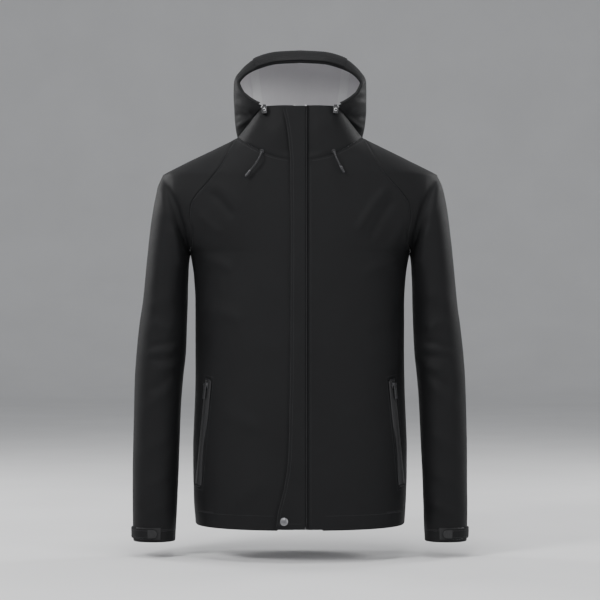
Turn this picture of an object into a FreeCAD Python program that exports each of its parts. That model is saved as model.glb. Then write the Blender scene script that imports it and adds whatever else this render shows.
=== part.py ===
import FreeCAD, Part
import Mesh
import math
import os

# Three-layer hardshell jacket with hood, hanging open-shaped with the front zip closed.
# Working frame: x = 0 is the centre front/back plane (+x is the wearer's left side),
# z = 0 is the height of the back neck seam, y = 0 the mid depth, front towards -y.
# The finished solids are moved so that the origin is the top of the hanger loop.

# ---------------------------------------------------------------- driving dimensions (mm)
LOOP = (0.0, 84.0, -6.0)        # top of the hanger loop, the row's origin
FAB = 1.4                       # shell laminate, modelled thickness
P_EXP = 2.3                     # squareness of the body section
Z_HEM = -734.0
Z_PIT = -225.0                  # underarm level
Z_TIP = -78.0                   # shoulder tip level
X_PIT = 207.0
X_TIP = 259.0
Z_NECKSIDE = -8.0
X_NECK = 118.0
Z_CF_NECK = -55.0               # front neck seam at centre front
Z_TOP = 46.0                    # collar top
CF_TILT = 0.07                  # forward lean of the front, per unit of height
CF_TOP = 95.0                   # depth of the front at collar top
ARM_B = 71.0                    # half depth of the armhole
BODY_GAP = 1.2                  # half of the gap where panels of two bodies meet
ZIP_HALF = 12.0                 # front panel edge from the zip's centre line
FLAP_HINGE_X = 9.5
FLAP_LIFT = 3.3                 # storm flap inner face in front of the shell
FLAP_T = 1.4
CORD_D = 2.8                    # hood cord diameter
ELBOW_Z = -411.5
CUFF_Z = -764.0

W_TAB = [(-745, 196.5), (-734, 197), (-684, 200), (-640, 201.5), (-592, 201.6), (-540, 199.8), (-480, 197.5),
         (-400, 196.5), (-320, 196.5), (-270, 199.5), (-240, 204), (-225, 207)]
DB_TAB = [(-745, 112), (-600, 114), (-450, 109), (-300, 118), (-225, 124), (-150, 126), (-78, 117), (-40, 103),
          (-8, 91), (5, 86), (30, 84)]
# raglan seam on the front and on the back: (x, z) from underarm to neck
RAG_F = [(207.0, -225.0), (201.5, -205.0), (200.5, -183.0), (205.5, -163.0), (203.0, -137.0), (189.0, -115.0),
         (170.0, -94.0), (150.0, -68.0), (134.0, -38.0), (118.0, -8.0)]
RAG_B = [(207.0, -225.0), (202.0, -205.0), (200.0, -183.0), (198.0, -160.0), (190.0, -134.0), (174.0, -108.0),
         (156.0, -80.0), (140.0, -54.0), (128.0, -30.0), (118.0, -8.0)]
# sleeve rings: inner point (x, z), outer point (x, z), half depth, centre y
RINGS = [((207.0, -225.0), (259.0, -78.0), 71.0, 1.0),
         ((209.0, -236.0), (268.0, -100.0), 72.0, 1.0),
         ((210.5, -250.0), (277.0, -138.0), 72.5, 1.5),
         ((211.5, -268.0), (284.0, -190.0), 72.5, 2.0),
         ((212.5, -290.0), (290.5, -250.0), 71.0, 2.5),
         ((213.0, -318.0), (296.5, -316.0), 69.5, 3.0),
         ((214.5, -362.0), (303.0, -362.0), 68.0, 1.0),
         ((216.0, -410.0), (308.0, -410.0), 66.0, -2.5),
         ((220.5, -460.0), (311.5, -460.0), 63.0, -6.5),
         ((224.5, -515.0), (313.0, -515.0), 59.0, -11.0),
         ((227.0, -580.0), (314.0, -580.0), 54.0, -16.5),
         ((229.5, -640.0), (314.5, -640.0), 49.5, -21.0),
         ((231.5, -700.0), (314.5, -700.0), 45.0, -26.0),
         ((233.0, -740.0), (314.0, -740.0), 42.0, -29.0),
         ((234.0, -764.0), (313.0, -764.0), 41.0, -31.0)]
# hood: four control curves over s (0 top centre, 1 chin corner)
HOOD_S = [0.0, 0.15, 0.3, 0.45, 0.55, 0.7, 0.8, 0.9, 1.0]
HOOD_E = [(0, -54, 133), (42, -50, 131), (81, -38, 122), (108, -40, 106), (117, -48, 91), (109, -62, 72), (97, -72, 61),
          (83, -80, 52), (71, -85, 46)]
HOOD_C1 = [(0, 8, 196), (48, 8, 193), (95, 10, 178), (121, 2, 140), (129, -8, 112), (126, -30, 82), (116, -48, 64),
           (96, -68, 52), (73, -83, 45)]
HOOD_C2 = [(0, 150, 118), (46, 147, 117), (90, 130, 104), (122, 96, 78), (131, 66, 58), (131, 20, 40), (124, -14, 30),
           (103, -50, 34), (74, -80, 42)]

os.makedirs("parts", exist_ok=True)
V = FreeCAD.Vector
NODES = {}


# ---------------------------------------------------------------- small maths
def spl(tab, q):
    # smooth scalar curve through (key, value) pairs, limited so it does not overshoot
    n = len(tab)
    if q <= tab[0][0]:
        return float(tab[0][1])
    if q >= tab[-1][0]:
        return float(tab[-1][1])
    i = 0
    while q > tab[i + 1][0]:
        i += 1

    def slope(k):
        return (tab[k + 1][1] - tab[k][1]) / float(tab[k + 1][0] - tab[k][0])

    def tang(k):
        if k == 0:
            return slope(0)
        if k == n - 1:
            return slope(n - 2)
        a, b = slope(k - 1), slope(k)
        if a * b <= 0:
            return 0.0
        return 2.0 * a * b / (a + b)
    h = float(tab[i + 1][0] - tab[i][0])
    t = (q - tab[i][0]) / h
    m0, m1 = tang(i) * h, tang(i + 1) * h
    return ((2 * t ** 3 - 3 * t ** 2 + 1) * tab[i][1] + (t ** 3 - 2 * t ** 2 + t) * m0
            + (-2 * t ** 3 + 3 * t ** 2) * tab[i + 1][1] + (t ** 3 - t ** 2) * m1)


def splv(keys, vecs, q):
    return tuple(spl([(k, v[c]) for k, v in zip(keys, vecs)], q) for c in range(len(vecs[0])))


def lerp(a, b, t):
    return tuple(x + (y - x) * t for x, y in zip(a, b))


# ---------------------------------------------------------------- the body surface
def arm_x(z):
    return X_PIT + (z - Z_PIT) * (X_TIP - X_PIT) / (Z_TIP - Z_PIT)


def depth_f(z):
    return CF_TOP + CF_TILT * (Z_TOP - z)


def depth_b(z):
    return spl(DB_TAB, z)


def half_w(z):
    if z <= Z_PIT:
        return spl(W_TAB, z)
    if z <= Z_TIP:
        zm, zh = (Z_PIT + Z_TIP) / 2, (Z_TIP - Z_PIT) / 2
        b = ARM_B * math.sqrt(max(0.0, 1 - ((z - zm) / zh) ** 2))
        d = 0.5 * (depth_f(z) + depth_b(z))
        return arm_x(z) / (1 - (b / d) ** P_EXP) ** (1 / P_EXP)
    if z <= Z_NECKSIDE:
        return X_TIP - (z - Z_TIP) * (X_TIP - X_NECK) / (Z_NECKSIDE - Z_TIP)
    return X_NECK - (z - Z_NECKSIDE) * 0.2


def ysurf(x, z, back):
    q = max(0.0, 1 - (abs(x) / half_w(z)) ** P_EXP) ** (1 / P_EXP)
    return depth_b(z) * q if back else -depth_f(z) * q


def seam_pt(tab, s):
    # point of a raglan seam at s in 0..1, evenly by index
    n = len(tab) - 1
    k = [i / float(n) for i in range(n + 1)]
    return splv(k, tab, s)


def row_lower(z, back, x0, nu):
    w = half_w(z)
    f0 = math.asin(min(1.0, (x0 / w) ** (P_EXP / 2)))
    out = []
    for j in range(nu + 1):
        f = f0 + (math.pi / 2 - f0) * j / nu
        x = w * math.sin(f) ** (2 / P_EXP)
        y = (depth_b(z) if back else -depth_f(z)) * max(0.0, math.cos(f)) ** (2 / P_EXP)
        out.append((x, y, z))
    return out


def row_upper(s, back, x0, nu):
    # s 0 at underarm level, 1 at the neck seam
    xr, zr = seam_pt(RAG_B if back else RAG_F, s)
    zc = Z_PIT + ((5.0 if back else Z_CF_NECK) - Z_PIT) * s
    out = []
    w = half_w(zr)
    fr = math.asin(min(1.0, (xr / w) ** (P_EXP / 2)))
    f0 = math.asin(min(1.0, (x0 / w) ** (P_EXP / 2)))
    for j in range(nu + 1):
        f = f0 + (fr - f0) * j / nu
        x = w * math.sin(f) ** (2 / P_EXP)
        t = x / xr
        z = zc + (zr - zc) * t ** 2.2
        out.append((x, ysurf(x, z, back), z))
    return out


def sleeve_ring(s, nth, cut=0.0):
    # s 0..14 along RINGS
    keys = list(range(len(RINGS)))
    ix, iz = splv(keys, [r[0] for r in RINGS], s)
    ox, oz = splv(keys, [r[1] for r in RINGS], s)
    b = spl([(k, r[2]) for k, r in zip(keys, RINGS)], s)
    yc = spl([(k, r[3]) for k, r in zip(keys, RINGS)], s)
    out = []
    for j in range(nth):
        a = 2 * math.pi * j / nth
        c, q = math.cos(a), math.sin(a)
        c = math.copysign(abs(c) ** (2 / 2.2), c)
        q = math.copysign(abs(q) ** (2 / 2.2), q)
        out.append(((ix + ox) / 2 + (ox - ix) / 2 * c, yc + b * q, (iz + oz) / 2 + (oz - iz) / 2 * c))
    return out


def s_of_z(z):
    lo, hi = 5.0, float(len(RINGS) - 1)
    for _ in range(40):
        m = (lo + hi) / 2
        r = sleeve_ring(m, 4)
        if r[0][2] > z:
            lo = m
        else:
            hi = m
    return (lo + hi) / 2


def hood_k(s):
    if s <= 0.75:
        x = X_NECK * math.sin(s / 0.75 * math.pi / 2)
        z = 5.0 - 13.0 * (x / X_NECK) ** 2
        return (x, ysurf(min(x, X_NECK - 0.01), z, True) if x < X_NECK - 0.5 else 0.0, z)
    return lerp((X_NECK, -2.0, Z_NECKSIDE), (72.0, -80.0, 42.0), (s - 0.75) / 0.25)


def hood_pt(s, t):
    e, c1, c2 = (splv(HOOD_S, q, s) for q in (HOOD_E, HOOD_C1, HOOD_C2))
    k = hood_k(s)
    u = 1 - t
    return tuple(u ** 3 * e[c] + 3 * u * u * t * c1[c] + 3 * u * t * t * c2[c] + t ** 3 * k[c] for c in range(3))


def collar_pt(u, v):
    # u 0 at centre front .. 1 at the hood seam, v 0 neck seam .. 1 top
    x = X_NECK * u
    z = Z_CF_NECK + (Z_NECKSIDE - Z_CF_NECK) * u ** 2.2
    low = (x, ysurf(min(x, X_NECK - 0.05), z, False) if u < 0.999 else -2.0, z)
    xt = 70.0 * u
    top = (xt, -CF_TOP + 13.0 * u ** 2.3, Z_TOP - 1.0 * u * u)
    p = lerp(low, top, v)
    return (p[0], p[1] - 3.0 * math.sin(math.pi * v) * u * (1 - u) * 4, p[2])


# ---------------------------------------------------------------- solids from point grids
def vsub(a, b):
    return (a[0] - b[0], a[1] - b[1], a[2] - b[2])


def cross(a, b):
    return (a[1] * b[2] - a[2] * b[1], a[2] * b[0] - a[0] * b[2], a[0] * b[1] - a[1] * b[0])


def dot(a, b):
    return a[0] * b[0] + a[1] * b[1] + a[2] * b[2]


def unit(a):
    n = math.sqrt(dot(a, a)) or 1.0
    return (a[0] / n, a[1] / n, a[2] / n)


def mix(p, n, d):
    return (p[0] + n[0] * d, p[1] + n[1] * d, p[2] + n[2] * d)


def normals(g, ref, closed):
    ni, nj = len(g), len(g[0])
    out = []
    for i in range(ni):
        row = []
        for j in range(nj):
            a = g[min(i + 1, ni - 1)][j]
            b = g[max(i - 1, 0)][j]
            if closed:
                c, d = g[i][(j + 1) % nj], g[i][(j - 1) % nj]
            else:
                c, d = g[i][min(j + 1, nj - 1)], g[i][max(j - 1, 0)]
            n = unit(cross(vsub(a, b), vsub(c, d)))
            r = ref(g[i][j])
            if dot(n, vsub(g[i][j], r)) < 0:
                n = (-n[0], -n[1], -n[2])
            row.append(n)
        out.append(row)
    return out


def solid_from_tris(tris):
    m = Mesh.Mesh([[V(*a), V(*b), V(*c)] for a, b, c in tris])
    sh = Part.Shape()
    sh.makeShapeFromMesh(m.Topology, 0.0005)
    so = Part.makeSolid(sh)
    if so.Volume < 0:
        so.reverse()
    return so


def shell(g, ref, d0, d1, closed=False):
    # closed thin solid between offsets d0 and d1 below the surface of grid g
    ns = normals(g, ref, closed)
    o = [[mix(p, n, -d0) for p, n in zip(r, nr)] for r, nr in zip(g, ns)]
    q = [[mix(p, n, -d1) for p, n in zip(r, nr)] for r, nr in zip(g, ns)]
    ni, nj = len(g), len(g[0])
    tr = []

    def quad(a, b, c, d):
        tr.append((a, b, c))
        tr.append((a, c, d))
    jl = nj if closed else nj - 1
    for i in range(ni - 1):
        for j in range(jl):
            k = (j + 1) % nj
            quad(o[i][j], o[i + 1][j], o[i + 1][k], o[i][k])
            quad(q[i][j], q[i][k], q[i + 1][k], q[i + 1][j])
    for j in range(jl):
        k = (j + 1) % nj
        quad(o[0][j], o[0][k], q[0][k], q[0][j])
        quad(o[-1][j], q[-1][j], q[-1][k], o[-1][k])
    if not closed:
        for i in range(ni - 1):
            quad(o[i][0], q[i][0], q[i + 1][0], o[i + 1][0])
            quad(o[i][-1], o[i + 1][-1], q[i + 1][-1], q[i][-1])
    # consistent outward orientation is settled by the volume sign
    vol = 0.0
    for a, b, c in tr:
        vol += dot(a, cross(b, c))
    if vol < 0:
        tr = [(a, c, b) for a, b, c in tr]
    return solid_from_tris(tr)


def tube_poly(path, r, nside=6):
    # faceted tube along many close points
    rings = []
    up = (0.13, 0.21, 0.97)
    for i, p in enumerate(path):
        a = path[max(i - 1, 0)]
        b = path[min(i + 1, len(path) - 1)]
        t = unit(vsub(b, a))
        u = unit(cross(up, t))
        w = cross(t, u)
        up = w
        rings.append([mix(mix(p, u, r * math.cos(2 * math.pi * k / nside)), w, r * math.sin(2 * math.pi * k / nside))
                      for k in range(nside)])
    tr = []
    for i in range(len(rings) - 1):
        for k in range(nside):
            m = (k + 1) % nside
            tr.append((rings[i][k], rings[i][m], rings[i + 1][m]))
            tr.append((rings[i][k], rings[i + 1][m], rings[i + 1][k]))
    for k in range(1, nside - 1):
        tr.append((rings[0][0], rings[0][k + 1], rings[0][k]))
        tr.append((rings[-1][0], rings[-1][k], rings[-1][k + 1]))
    vol = sum(dot(a, cross(b, c)) for a, b, c in tr)
    if vol < 0:
        tr = [(a, c, b) for a, b, c in tr]
    return solid_from_tris(tr)


def inset(g, d_lo=0.0, d_hi=0.0, d_first=0.0, d_last=0.0):
    # pull the four borders of a grid inwards: first/last along i, lo/hi along j
    g = [list(r) for r in g]

    def pull(p, q, d):
        return mix(p, unit(vsub(q, p)), d)
    if d_first:
        g[0] = [pull(p, q, d_first) for p, q in zip(g[0], g[1])]
    if d_last:
        g[-1] = [pull(p, q, d_last) for p, q in zip(g[-1], g[-2])]
    if d_lo:
        for r in g:
            r[0] = pull(r[0], r[1], d_lo)
    if d_hi:
        for r in g:
            r[-1] = pull(r[-1], r[-2], d_hi)
    return g


def mir(g):
    return [[(-p[0], p[1], p[2]) for p in r] for r in g]


def mirs(shape):
    return shape.mirror(V(0, 0, 0), V(1, 0, 0))


def frame_box(o, w, d, n, lw, ld, ln):
    # box with ranges lw, ld, ln along unit directions w, d, n from o
    pts = [[mix(mix(mix(o, w, a), d, b), n, c) for a in lw] for b in ld for c in ln]
    f = [p for r in pts for p in r]
    # index: b*4 + c*2 + a
    q = [(0, 1, 3, 2), (4, 6, 7, 5), (0, 4, 5, 1), (2, 3, 7, 6), (0, 2, 6, 4), (1, 5, 7, 3)]
    tr = []
    for a, b, c, e in q:
        tr.append((f[a], f[b], f[c]))
        tr.append((f[a], f[c], f[e]))
    vol = sum(dot(a, cross(b, c)) for a, b, c in tr)
    if vol < 0:
        tr = [(a, c, b) for a, b, c in tr]
    faces = []
    for a, b, c, e in q:
        faces.append(Part.Face(Part.makePolygon([V(*f[a]), V(*f[b]), V(*f[c]), V(*f[e]), V(*f[a])])))
    sh = Part.makeShell(faces)
    so = Part.makeSolid(sh)
    if so.Volume < 0:
        so.reverse()
    return so


def cyl(p, d, r, h):
    return Part.makeCylinder(r, h, V(*p), V(*d))


def add(name, *shapes):
    if len(shapes) == 1:
        s = shapes[0]
    else:
        s = Part.makeCompound(list(shapes))
    NODES[name] = s


def axis_ref(p):
    return (p[0] * 0.35, 0.0, p[2])


# ---------------------------------------------------------------- torso panels
NU, NL, NUP = 10, 11, 11
z_rows = [Z_HEM + (Z_PIT - Z_HEM) * i / NL for i in range(NL + 1)]


def panel_grid(back, x0):
    rows = [row_lower(z, back, x0, NU) for z in z_rows]
    for i in range(1, NUP + 1):
        rows.append(row_upper(i / float(NUP), back, x0, NU))
    return rows


gf = panel_grid(False, ZIP_HALF)
gf = inset(gf, 0, 0.4, 0, 0.4)
add("front_panel_left", shell(gf, axis_ref, 0, FAB))
add("front_panel_right", shell(mir(gf), axis_ref, 0, FAB))
gb = panel_grid(True, 0.0)
gbm = [[(-p[0], p[1], p[2]) for p in reversed(r[1:])] + r for r in gb]
gbm = inset(gbm, 0.4, 0.4, 0, 0.6)
# the yoke is the strip under the neck seam, the back panel everything below it
YOKE = NL + 8
add("back_panel", shell(inset(gbm[:YOKE + 1], 0, 0, 0, 0.15), axis_ref, 0, FAB))
gy = inset(gbm[YOKE:], 0, 0, 0.15, 0)
# the yoke is made in three lengths, each nearly flat, so that the loop gap in front of it stays free
yoke = []
for j0, j1 in ((0, NU - 1), (NU - 1, NU + 1), (NU + 1, 2 * NU)):
    part = [r[j0:j1 + 1] for r in gy]
    part = inset(part, 0.04 if j0 else 0, 0.04 if j1 < 2 * NU else 0, 0, 0)
    yoke.append(shell(part, axis_ref, 0, FAB))
add("back_yoke", *yoke)


# shoulder part of the raglan sleeve: between the raglan seams and the armhole line
def shoulder_grid():
    rows = []
    n = 11
    loops = []
    for half in (0, 1):
        for i in range(n + 1):
            s = i / float(n)
            loops.append((half, s if half == 0 else 1 - s))
    done = []
    for half, s in loops:
        if half == 1 and s == 1:
            continue
        ss = 0.06 + 0.94 * s
        x, z = seam_pt(RAG_F if half == 0 else RAG_B, ss)
        y = ysurf(min(x, half_w(z) - 0.02), z, half == 1)
        if s == 1:
            y = 0.0
        # armhole line point at angle
        zm, zh = (Z_PIT + Z_TIP) / 2, (Z_TIP - Z_PIT) / 2
        za = zm - zh * math.cos(math.pi * (0.045 + 0.955 * s))
        xa = arm_x(za)
        row = []
        for j in range(7):
            t = j / 6.0
            xx, zz = x + (xa - x) * t, z + (za - z) * t
            if s == 1:
                yy = 0.0
            else:
                # keep below the shoulder ridge
                yy = ysurf(min(xx, half_w(zz) - 0.02), zz, half == 1)
            row.append((xx, yy, zz))
        rows.append(row)
    return rows


gs = shoulder_grid()
gs = inset(gs, 0.6, BODY_GAP, 0.3, 0.3)


def shoulder_ref(p):
    return (150.0 if p[0] > 0 else -150.0, 0.0, -170.0)


add("shoulder_left", shell(gs, shoulder_ref, 0, FAB))
add("shoulder_right", shell(mir(gs), shoulder_ref, 0, FAB))

# ---------------------------------------------------------------- collar
U0 = ZIP_HALF / X_NECK
gc = [[collar_pt(U0 + (1 - U0) * j / 8.0, i / 5.0) for j in range(9)] for i in range(6)]
# keep the zip edge straight and parallel to the centre line
for i, r in enumerate(gc):
    z = r[0][2]
    r[0] = (ZIP_HALF, -depth_f(z) * (1 - (ZIP_HALF / half_w(min(z, -8))) ** P_EXP) ** (1 / P_EXP), z)
gc = inset(gc, 0, BODY_GAP, 0.4, 0)


def neck_ref(p):
    return (0.0, 0.0, p[2] - 6)


add("collar_left", shell(gc, neck_ref, 0, FAB))
add("collar_right", shell(mir(gc), neck_ref, 0, FAB))

# chin guard: soft facing inside the collar top on both sides of the zip's top end
g = []
for i in range(4):
    z = -2.0 + 46.0 * i / 3.0
    g.append([(x, -depth_f(z) + 0.0012 * x * x, z) for x in [-34.0 + 8.5 * j for j in range(9)]])
add("chin_guard", shell(g, neck_ref, 8.4, 9.6))
# inner wind flap behind the zip, from under the chin guard to the hem
g = []
for i in range(2):
    z = (Z_HEM + 4) + ((-6.0) - (Z_HEM + 4)) * i
    g.append([(x, -depth_f(z), z) for x in (-22.0, 22.0)])
add("inner_wind_flap", shell(g, axis_ref, 6.0, 7.0))

# ---------------------------------------------------------------- front zip
CFN = unit((0.0, -1.0, CF_TILT))             # outward normal of the front
CFD = unit((0.0, -CF_TILT, -1.0))            # down along the zip
CFW = (1.0, 0.0, 0.0)


def cf_at(z, off=0.0):
    # point of the centre-front line, off millimetres in front of the shell face
    return mix((0.0, -depth_f(z), z), CFN, off)


ZT = -2.3                                    # plane of the teeth, behind the shell face
zip_top = Z_TOP - 4.0
zip_bot = Z_HEM + 7.0
LEN = math.sqrt(1 + CF_TILT ** 2) * (zip_top - zip_bot)
o = cf_at(zip_top, ZT)
add("main_zip_tapes",
    frame_box(o, CFW, CFD, CFN, (3.15, 14.5), (0, LEN - 7.7), (-0.45, 0.45)),
    frame_box(o, CFW, CFD, CFN, (-14.5, -3.15), (0, LEN - 7.7), (-0.45, 0.45)))
add("main_zip_teeth",
    frame_box(o, CFW, CFD, CFN, (0.7, 3.1), (3, LEN - 8), (-1.25, 1.25)),
    frame_box(o, CFW, CFD, CFN, (-3.1, -0.7), (3, LEN - 8), (-1.25, 1.25)))
add("zip_box_and_stops",
    frame_box(o, CFW, CFD, CFN, (-4.2, 4.2), (LEN - 7.6, LEN), (-1.6, 1.4)),
    frame_box(o, CFW, CFD, CFN, (0.8, 3.05), (0.2, 2.7), (-1.2, 1.2)),
    frame_box(o, CFW, CFD, CFN, (-3.05, -0.8), (0.2, 2.7), (-1.2, 1.2)))
so = mix(o, CFD, 3.2)
sl = frame_box(so, CFW, CFD, CFN, (-4.6, 4.6), (0, 12), (1.55, 2.7))
sl = sl.fuse(frame_box(so, CFW, CFD, CFN, (-4.6, 4.6), (0, 12), (-2.7, -1.55)))
sl = sl.fuse(frame_box(so, CFW, CFD, CFN, (-0.4, 0.4), (0, 4.5), (-1.6, 1.6)))
pin = mix(mix(so, CFD, 5.0), CFN, 2.6)
sl = sl.fuse(cyl(pin, CFN, 1.2, 2.0)).removeSplitter()
add("main_slider", sl)
pc = mix(mix(so, CFD, 5.0), CFN, 2.95)
pl = frame_box(pc, CFW, CFD, CFN, (-3.0, 3.0), (0, 26), (0, 1.35))
pl = pl.fuse(cyl(pc, CFN, 3.0, 1.35))
pl = pl.cut(cyl(mix(pc, CFN, -1), CFN, 1.5, 4)).removeSplitter()
add("main_pull", pl)

# ---------------------------------------------------------------- storm flap with snap
FLAP_EDGE = [(-730.0, -44.0), (-705.0, -41.0), (-660.0, -30.0), (-610.0, -22.5), (-560.0, -20.5), (-400.0, -18.0),
             (-200.0, -17.5), (-60.0, -18.5), (0.0, -24.0), (44.0, -33.0)]
g = []
for i in range(25):
    z = -730.0 + 774.0 * i / 24.0
    xe = spl(FLAP_EDGE, z)
    g.append([mix((FLAP_HINGE_X + (xe - FLAP_HINGE_X) * j / 4.0, -depth_f(z), z), CFN, FLAP_LIFT + FLAP_T)
              for j in range(5)])
add("storm_flap", shell(g, axis_ref, 0, FLAP_T))
# raised seam strip that carries the flap on the left front
g = []
for i in range(2):
    z = -730.0 + 774.0 * i
    g.append([mix((x, -depth_f(z), z), CFN, FLAP_LIFT + FLAP_T) for x in (FLAP_HINGE_X + 0.6, FLAP_HINGE_X + 3.4)])
add("flap_seam_strip", shell(g, axis_ref, 0, FLAP_LIFT + FLAP_T - 0.1))
SN = (-29.0, -727.0)
SNZ = -719.0
c0 = mix((SN[0], -depth_f(SNZ), SNZ), CFN, 0.0)
cap = cyl(mix(c0, CFN, FLAP_LIFT + FLAP_T), CFN, 7.4, 1.5)
cap = cap.fuse(Part.makeCone(7.4, 4.6, 0.9, V(*mix(c0, CFN, FLAP_LIFT + FLAP_T + 1.5)), V(*CFN))).removeSplitter()
add("snap_cap", cap)
sk = cyl(mix(c0, CFN, FLAP_LIFT - 1.5), CFN, 6.2, 1.5).cut(cyl(mix(c0, CFN, FLAP_LIFT - 3), CFN, 2.9, 6))
add("snap_socket", sk)
base_y = ysurf(SN[0], SNZ, False)
st0 = mix((SN[0], base_y, SNZ), CFN, 0.05)
lift = c0[1] - base_y
st = cyl(st0, CFN, 5.2, 0.9).fuse(cyl(st0, CFN, 2.3, 3.4)).removeSplitter()
add("snap_stud", st)


# ---------------------------------------------------------------- hand pockets
PK_TOP = (170.0, -470.0)
PK_BOT = (188.0, -652.0)
pt = (PK_TOP[0], ysurf(PK_TOP[0], PK_TOP[1], False), PK_TOP[1])
pb = (PK_BOT[0], ysurf(PK_BOT[0], PK_BOT[1], False), PK_BOT[1])
pd = unit(vsub(pb, pt))
mx, mz = (pt[0] + pb[0]) / 2, (pt[2] + pb[2]) / 2
e1 = (mx + 3, ysurf(mx + 3, mz, False), mz)
e0 = (mx - 3, ysurf(mx - 3, mz, False), mz)
pn = unit(cross(pd, vsub(e1, e0)))
if pn[1] > 0:
    pn = (-pn[0], -pn[1], -pn[2])
pw = unit(cross(pn, pd))
plen = math.sqrt(dot(vsub(pb, pt), vsub(pb, pt)))
# the zip lies in a straight plane just in front of the shell
po = mix(mix(pt, pd, -6.0), pn, 3.0)
PKL = plen + 12.0
tape = [frame_box(po, pw, pd, pn, (0.6, 10.0), (0, PKL), (-0.5, 0.5)),
        frame_box(po, pw, pd, pn, (-10.0, -0.6), (0, PKL), (-0.5, 0.5))]
coil = [frame_box(po, pw, pd, pn, (0.6, 2.4), (3, PKL - 3), (-1.6, -0.55)),
        frame_box(po, pw, pd, pn, (-2.4, -0.6), (3, PKL - 3), (-1.6, -0.55))]
ends = [frame_box(po, pw, pd, pn, (-9.0, 9.0), (-3.2, -0.1), (-0.5, 0.5)),
        frame_box(po, pw, pd, pn, (-9.0, 9.0), (PKL + 0.1, PKL + 3.2), (-0.5, 0.5))]
add("pocket_zip_left", *(tape + coil + ends))
add("pocket_zip_right", *[mirs(s) for s in tape + coil + ends])
ps = mix(po, pd, 3.2)
sl = frame_box(ps, pw, pd, pn, (-4.4, 4.4), (0, 11), (0.8, 1.9))
sl = sl.fuse(frame_box(ps, pw, pd, pn, (-3.6, 3.6), (0, 11), (-2.7, -1.8)))
sl = sl.fuse(frame_box(ps, pw, pd, pn, (-0.35, 0.35), (0, 4.0), (-1.9, 0.9)))
for a, b in ((-4.2, -3.3), (3.3, 4.2)):
    sl = sl.fuse(frame_box(ps, pw, pd, pn, (a, b), (1.5, 6.5), (1.8, 5.8)))
pp = mix(mix(ps, pd, 4.0), pn, 4.6)
sl = sl.fuse(cyl(mix(pp, pw, -3.4), pw, 0.8, 6.8)).removeSplitter()
add("pocket_slider_left", sl)
add("pocket_slider_right", mirs(sl))
pu = cyl(mix(pp, pw, -2.6), pw, 2.1, 5.2)
pu = pu.fuse(frame_box(pp, pw, pd, pn, (-2.6, 2.6), (0.5, 27.0), (-0.9, 0.9)))
pu = pu.cut(cyl(mix(pp, pw, -4), pw, 1.1, 8)).removeSplitter()
add("pocket_pull_left", pu)
add("pocket_pull_right", mirs(pu))
PULL_AXIS_P = pp
# slot of the pocket mouth in the front panel
slot = frame_box(po, pw, pd, pn, (-4.6, 4.6), (2.0, PKL - 2.0), (-12.0, 2.0))
for nm, sl_ in (("front_panel_left", slot), ("front_panel_right", mirs(slot))):
    NODES[nm] = NODES[nm].cut(sl_)
# pocket bag: one layer behind each front panel
g = []
for i in range(7):
    z = -690.0 + 240.0 * i / 6.0
    r = []
    for j in range(7):
        x = 45.0 + 138.0 * j / 6.0
        x = min(x, half_w(z) - 12)
        r.append((x, ysurf(x, z, False), z))
    g.append(r)
add("pocket_bag_left", shell(g, axis_ref, 8.6, 9.4))
add("pocket_bag_right", shell(mir(g), axis_ref, 8.6, 9.4))


# ---------------------------------------------------------------- hem: facing, drawcord, cordlocks
def hem_ring(z, x_end, n):
    pts = []
    half = []
    w = half_w(z)
    f0 = math.asin((x_end / w) ** (P_EXP / 2))
    for j in range(n + 1):
        f = f0 + (math.pi / 2 - f0) * j / n
        half.append((w * math.sin(f) ** (2 / P_EXP), -depth_f(z) * math.cos(f) ** (2 / P_EXP) if j < n else 0.0, z))
    bk = []
    for j in range(1, n + 1):
        f = math.pi / 2 * (1 - j / float(n))
        bk.append((w * math.sin(f) ** (2 / P_EXP) if j < n else 0.0, depth_b(z) * math.cos(f) ** (2 / P_EXP), z))
    pts = half + bk
    return pts + [(-p[0], p[1], p[2]) for p in reversed(pts[:-1])]


g = [hem_ring(z, 26.0, 12) for z in (Z_HEM + 0.5, Z_HEM + 25.0)]
add("hem_facing", shell(g, axis_ref, 5.2, 6.2))
zc = Z_HEM + 9.0
ring = hem_ring(zc, 40.0, 22)
nr = normals([ring, [(p[0], p[1], p[2] + 5) for p in ring]], axis_ref, False)[0]
path = [mix(p, n, -3.3) for p, n in zip(ring, nr)]
add("hem_drawcord", tube_poly(path, 1.3))
HLX = 132.0
hl = (HLX, ysurf(HLX, zc + 8, False), zc + 8)
hn = unit(vsub((HLX, ysurf(HLX, zc + 8, False), 0), (HLX - 60, 0, 0)))
t1 = unit(vsub((HLX + 4, ysurf(HLX + 4, zc + 8, False), 0), (HLX - 4, ysurf(HLX - 4, zc + 8, False), 0)))
hn = unit(cross(t1, (0, 0, 1)))
if hn[1] > 0:
    hn = (-hn[0], -hn[1], -hn[2])
hc = mix(hl, hn, -13.5)


def cordlock(c, a, u, w, la, lu, lw, r, depth):
    # block with a blind bore along a; a is the button's outward direction
    b = frame_box(c, u, w, a, (-lu, lu), (-lw, lw), (-la, la))
    return b.cut(cyl(mix(c, a, la - depth), a, r, depth + 1))


def button(c, a, la, r, depth, proud):
    p = mix(c, a, la - depth + 3.6)
    return cyl(p, a, r, depth - 3.6 + proud)


hb = cordlock(hc, t1, hn, (0, 0, 1), 7.0, 5.0, 5.5, 3.6, 9.5)
bu = button(hc, t1, 7.0, 3.2, 9.5, 4.2)
add("hem_cordlock_bodies", hb, mirs(hb))
add("hem_button_left", bu)
add("hem_button_right", mirs(bu))

# ---------------------------------------------------------------- hood
def hood_grid(s0, s1, t0, t1_, ns, nt):
    return [[hood_pt(s0 + (s1 - s0) * j / float(ns), t0 + (t1_ - t0) * i / float(nt)) for j in range(ns + 1)]
            for i in range(nt + 1)]


def hood_ref(p):
    return (0.0, 10.0, 45.0)


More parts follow.
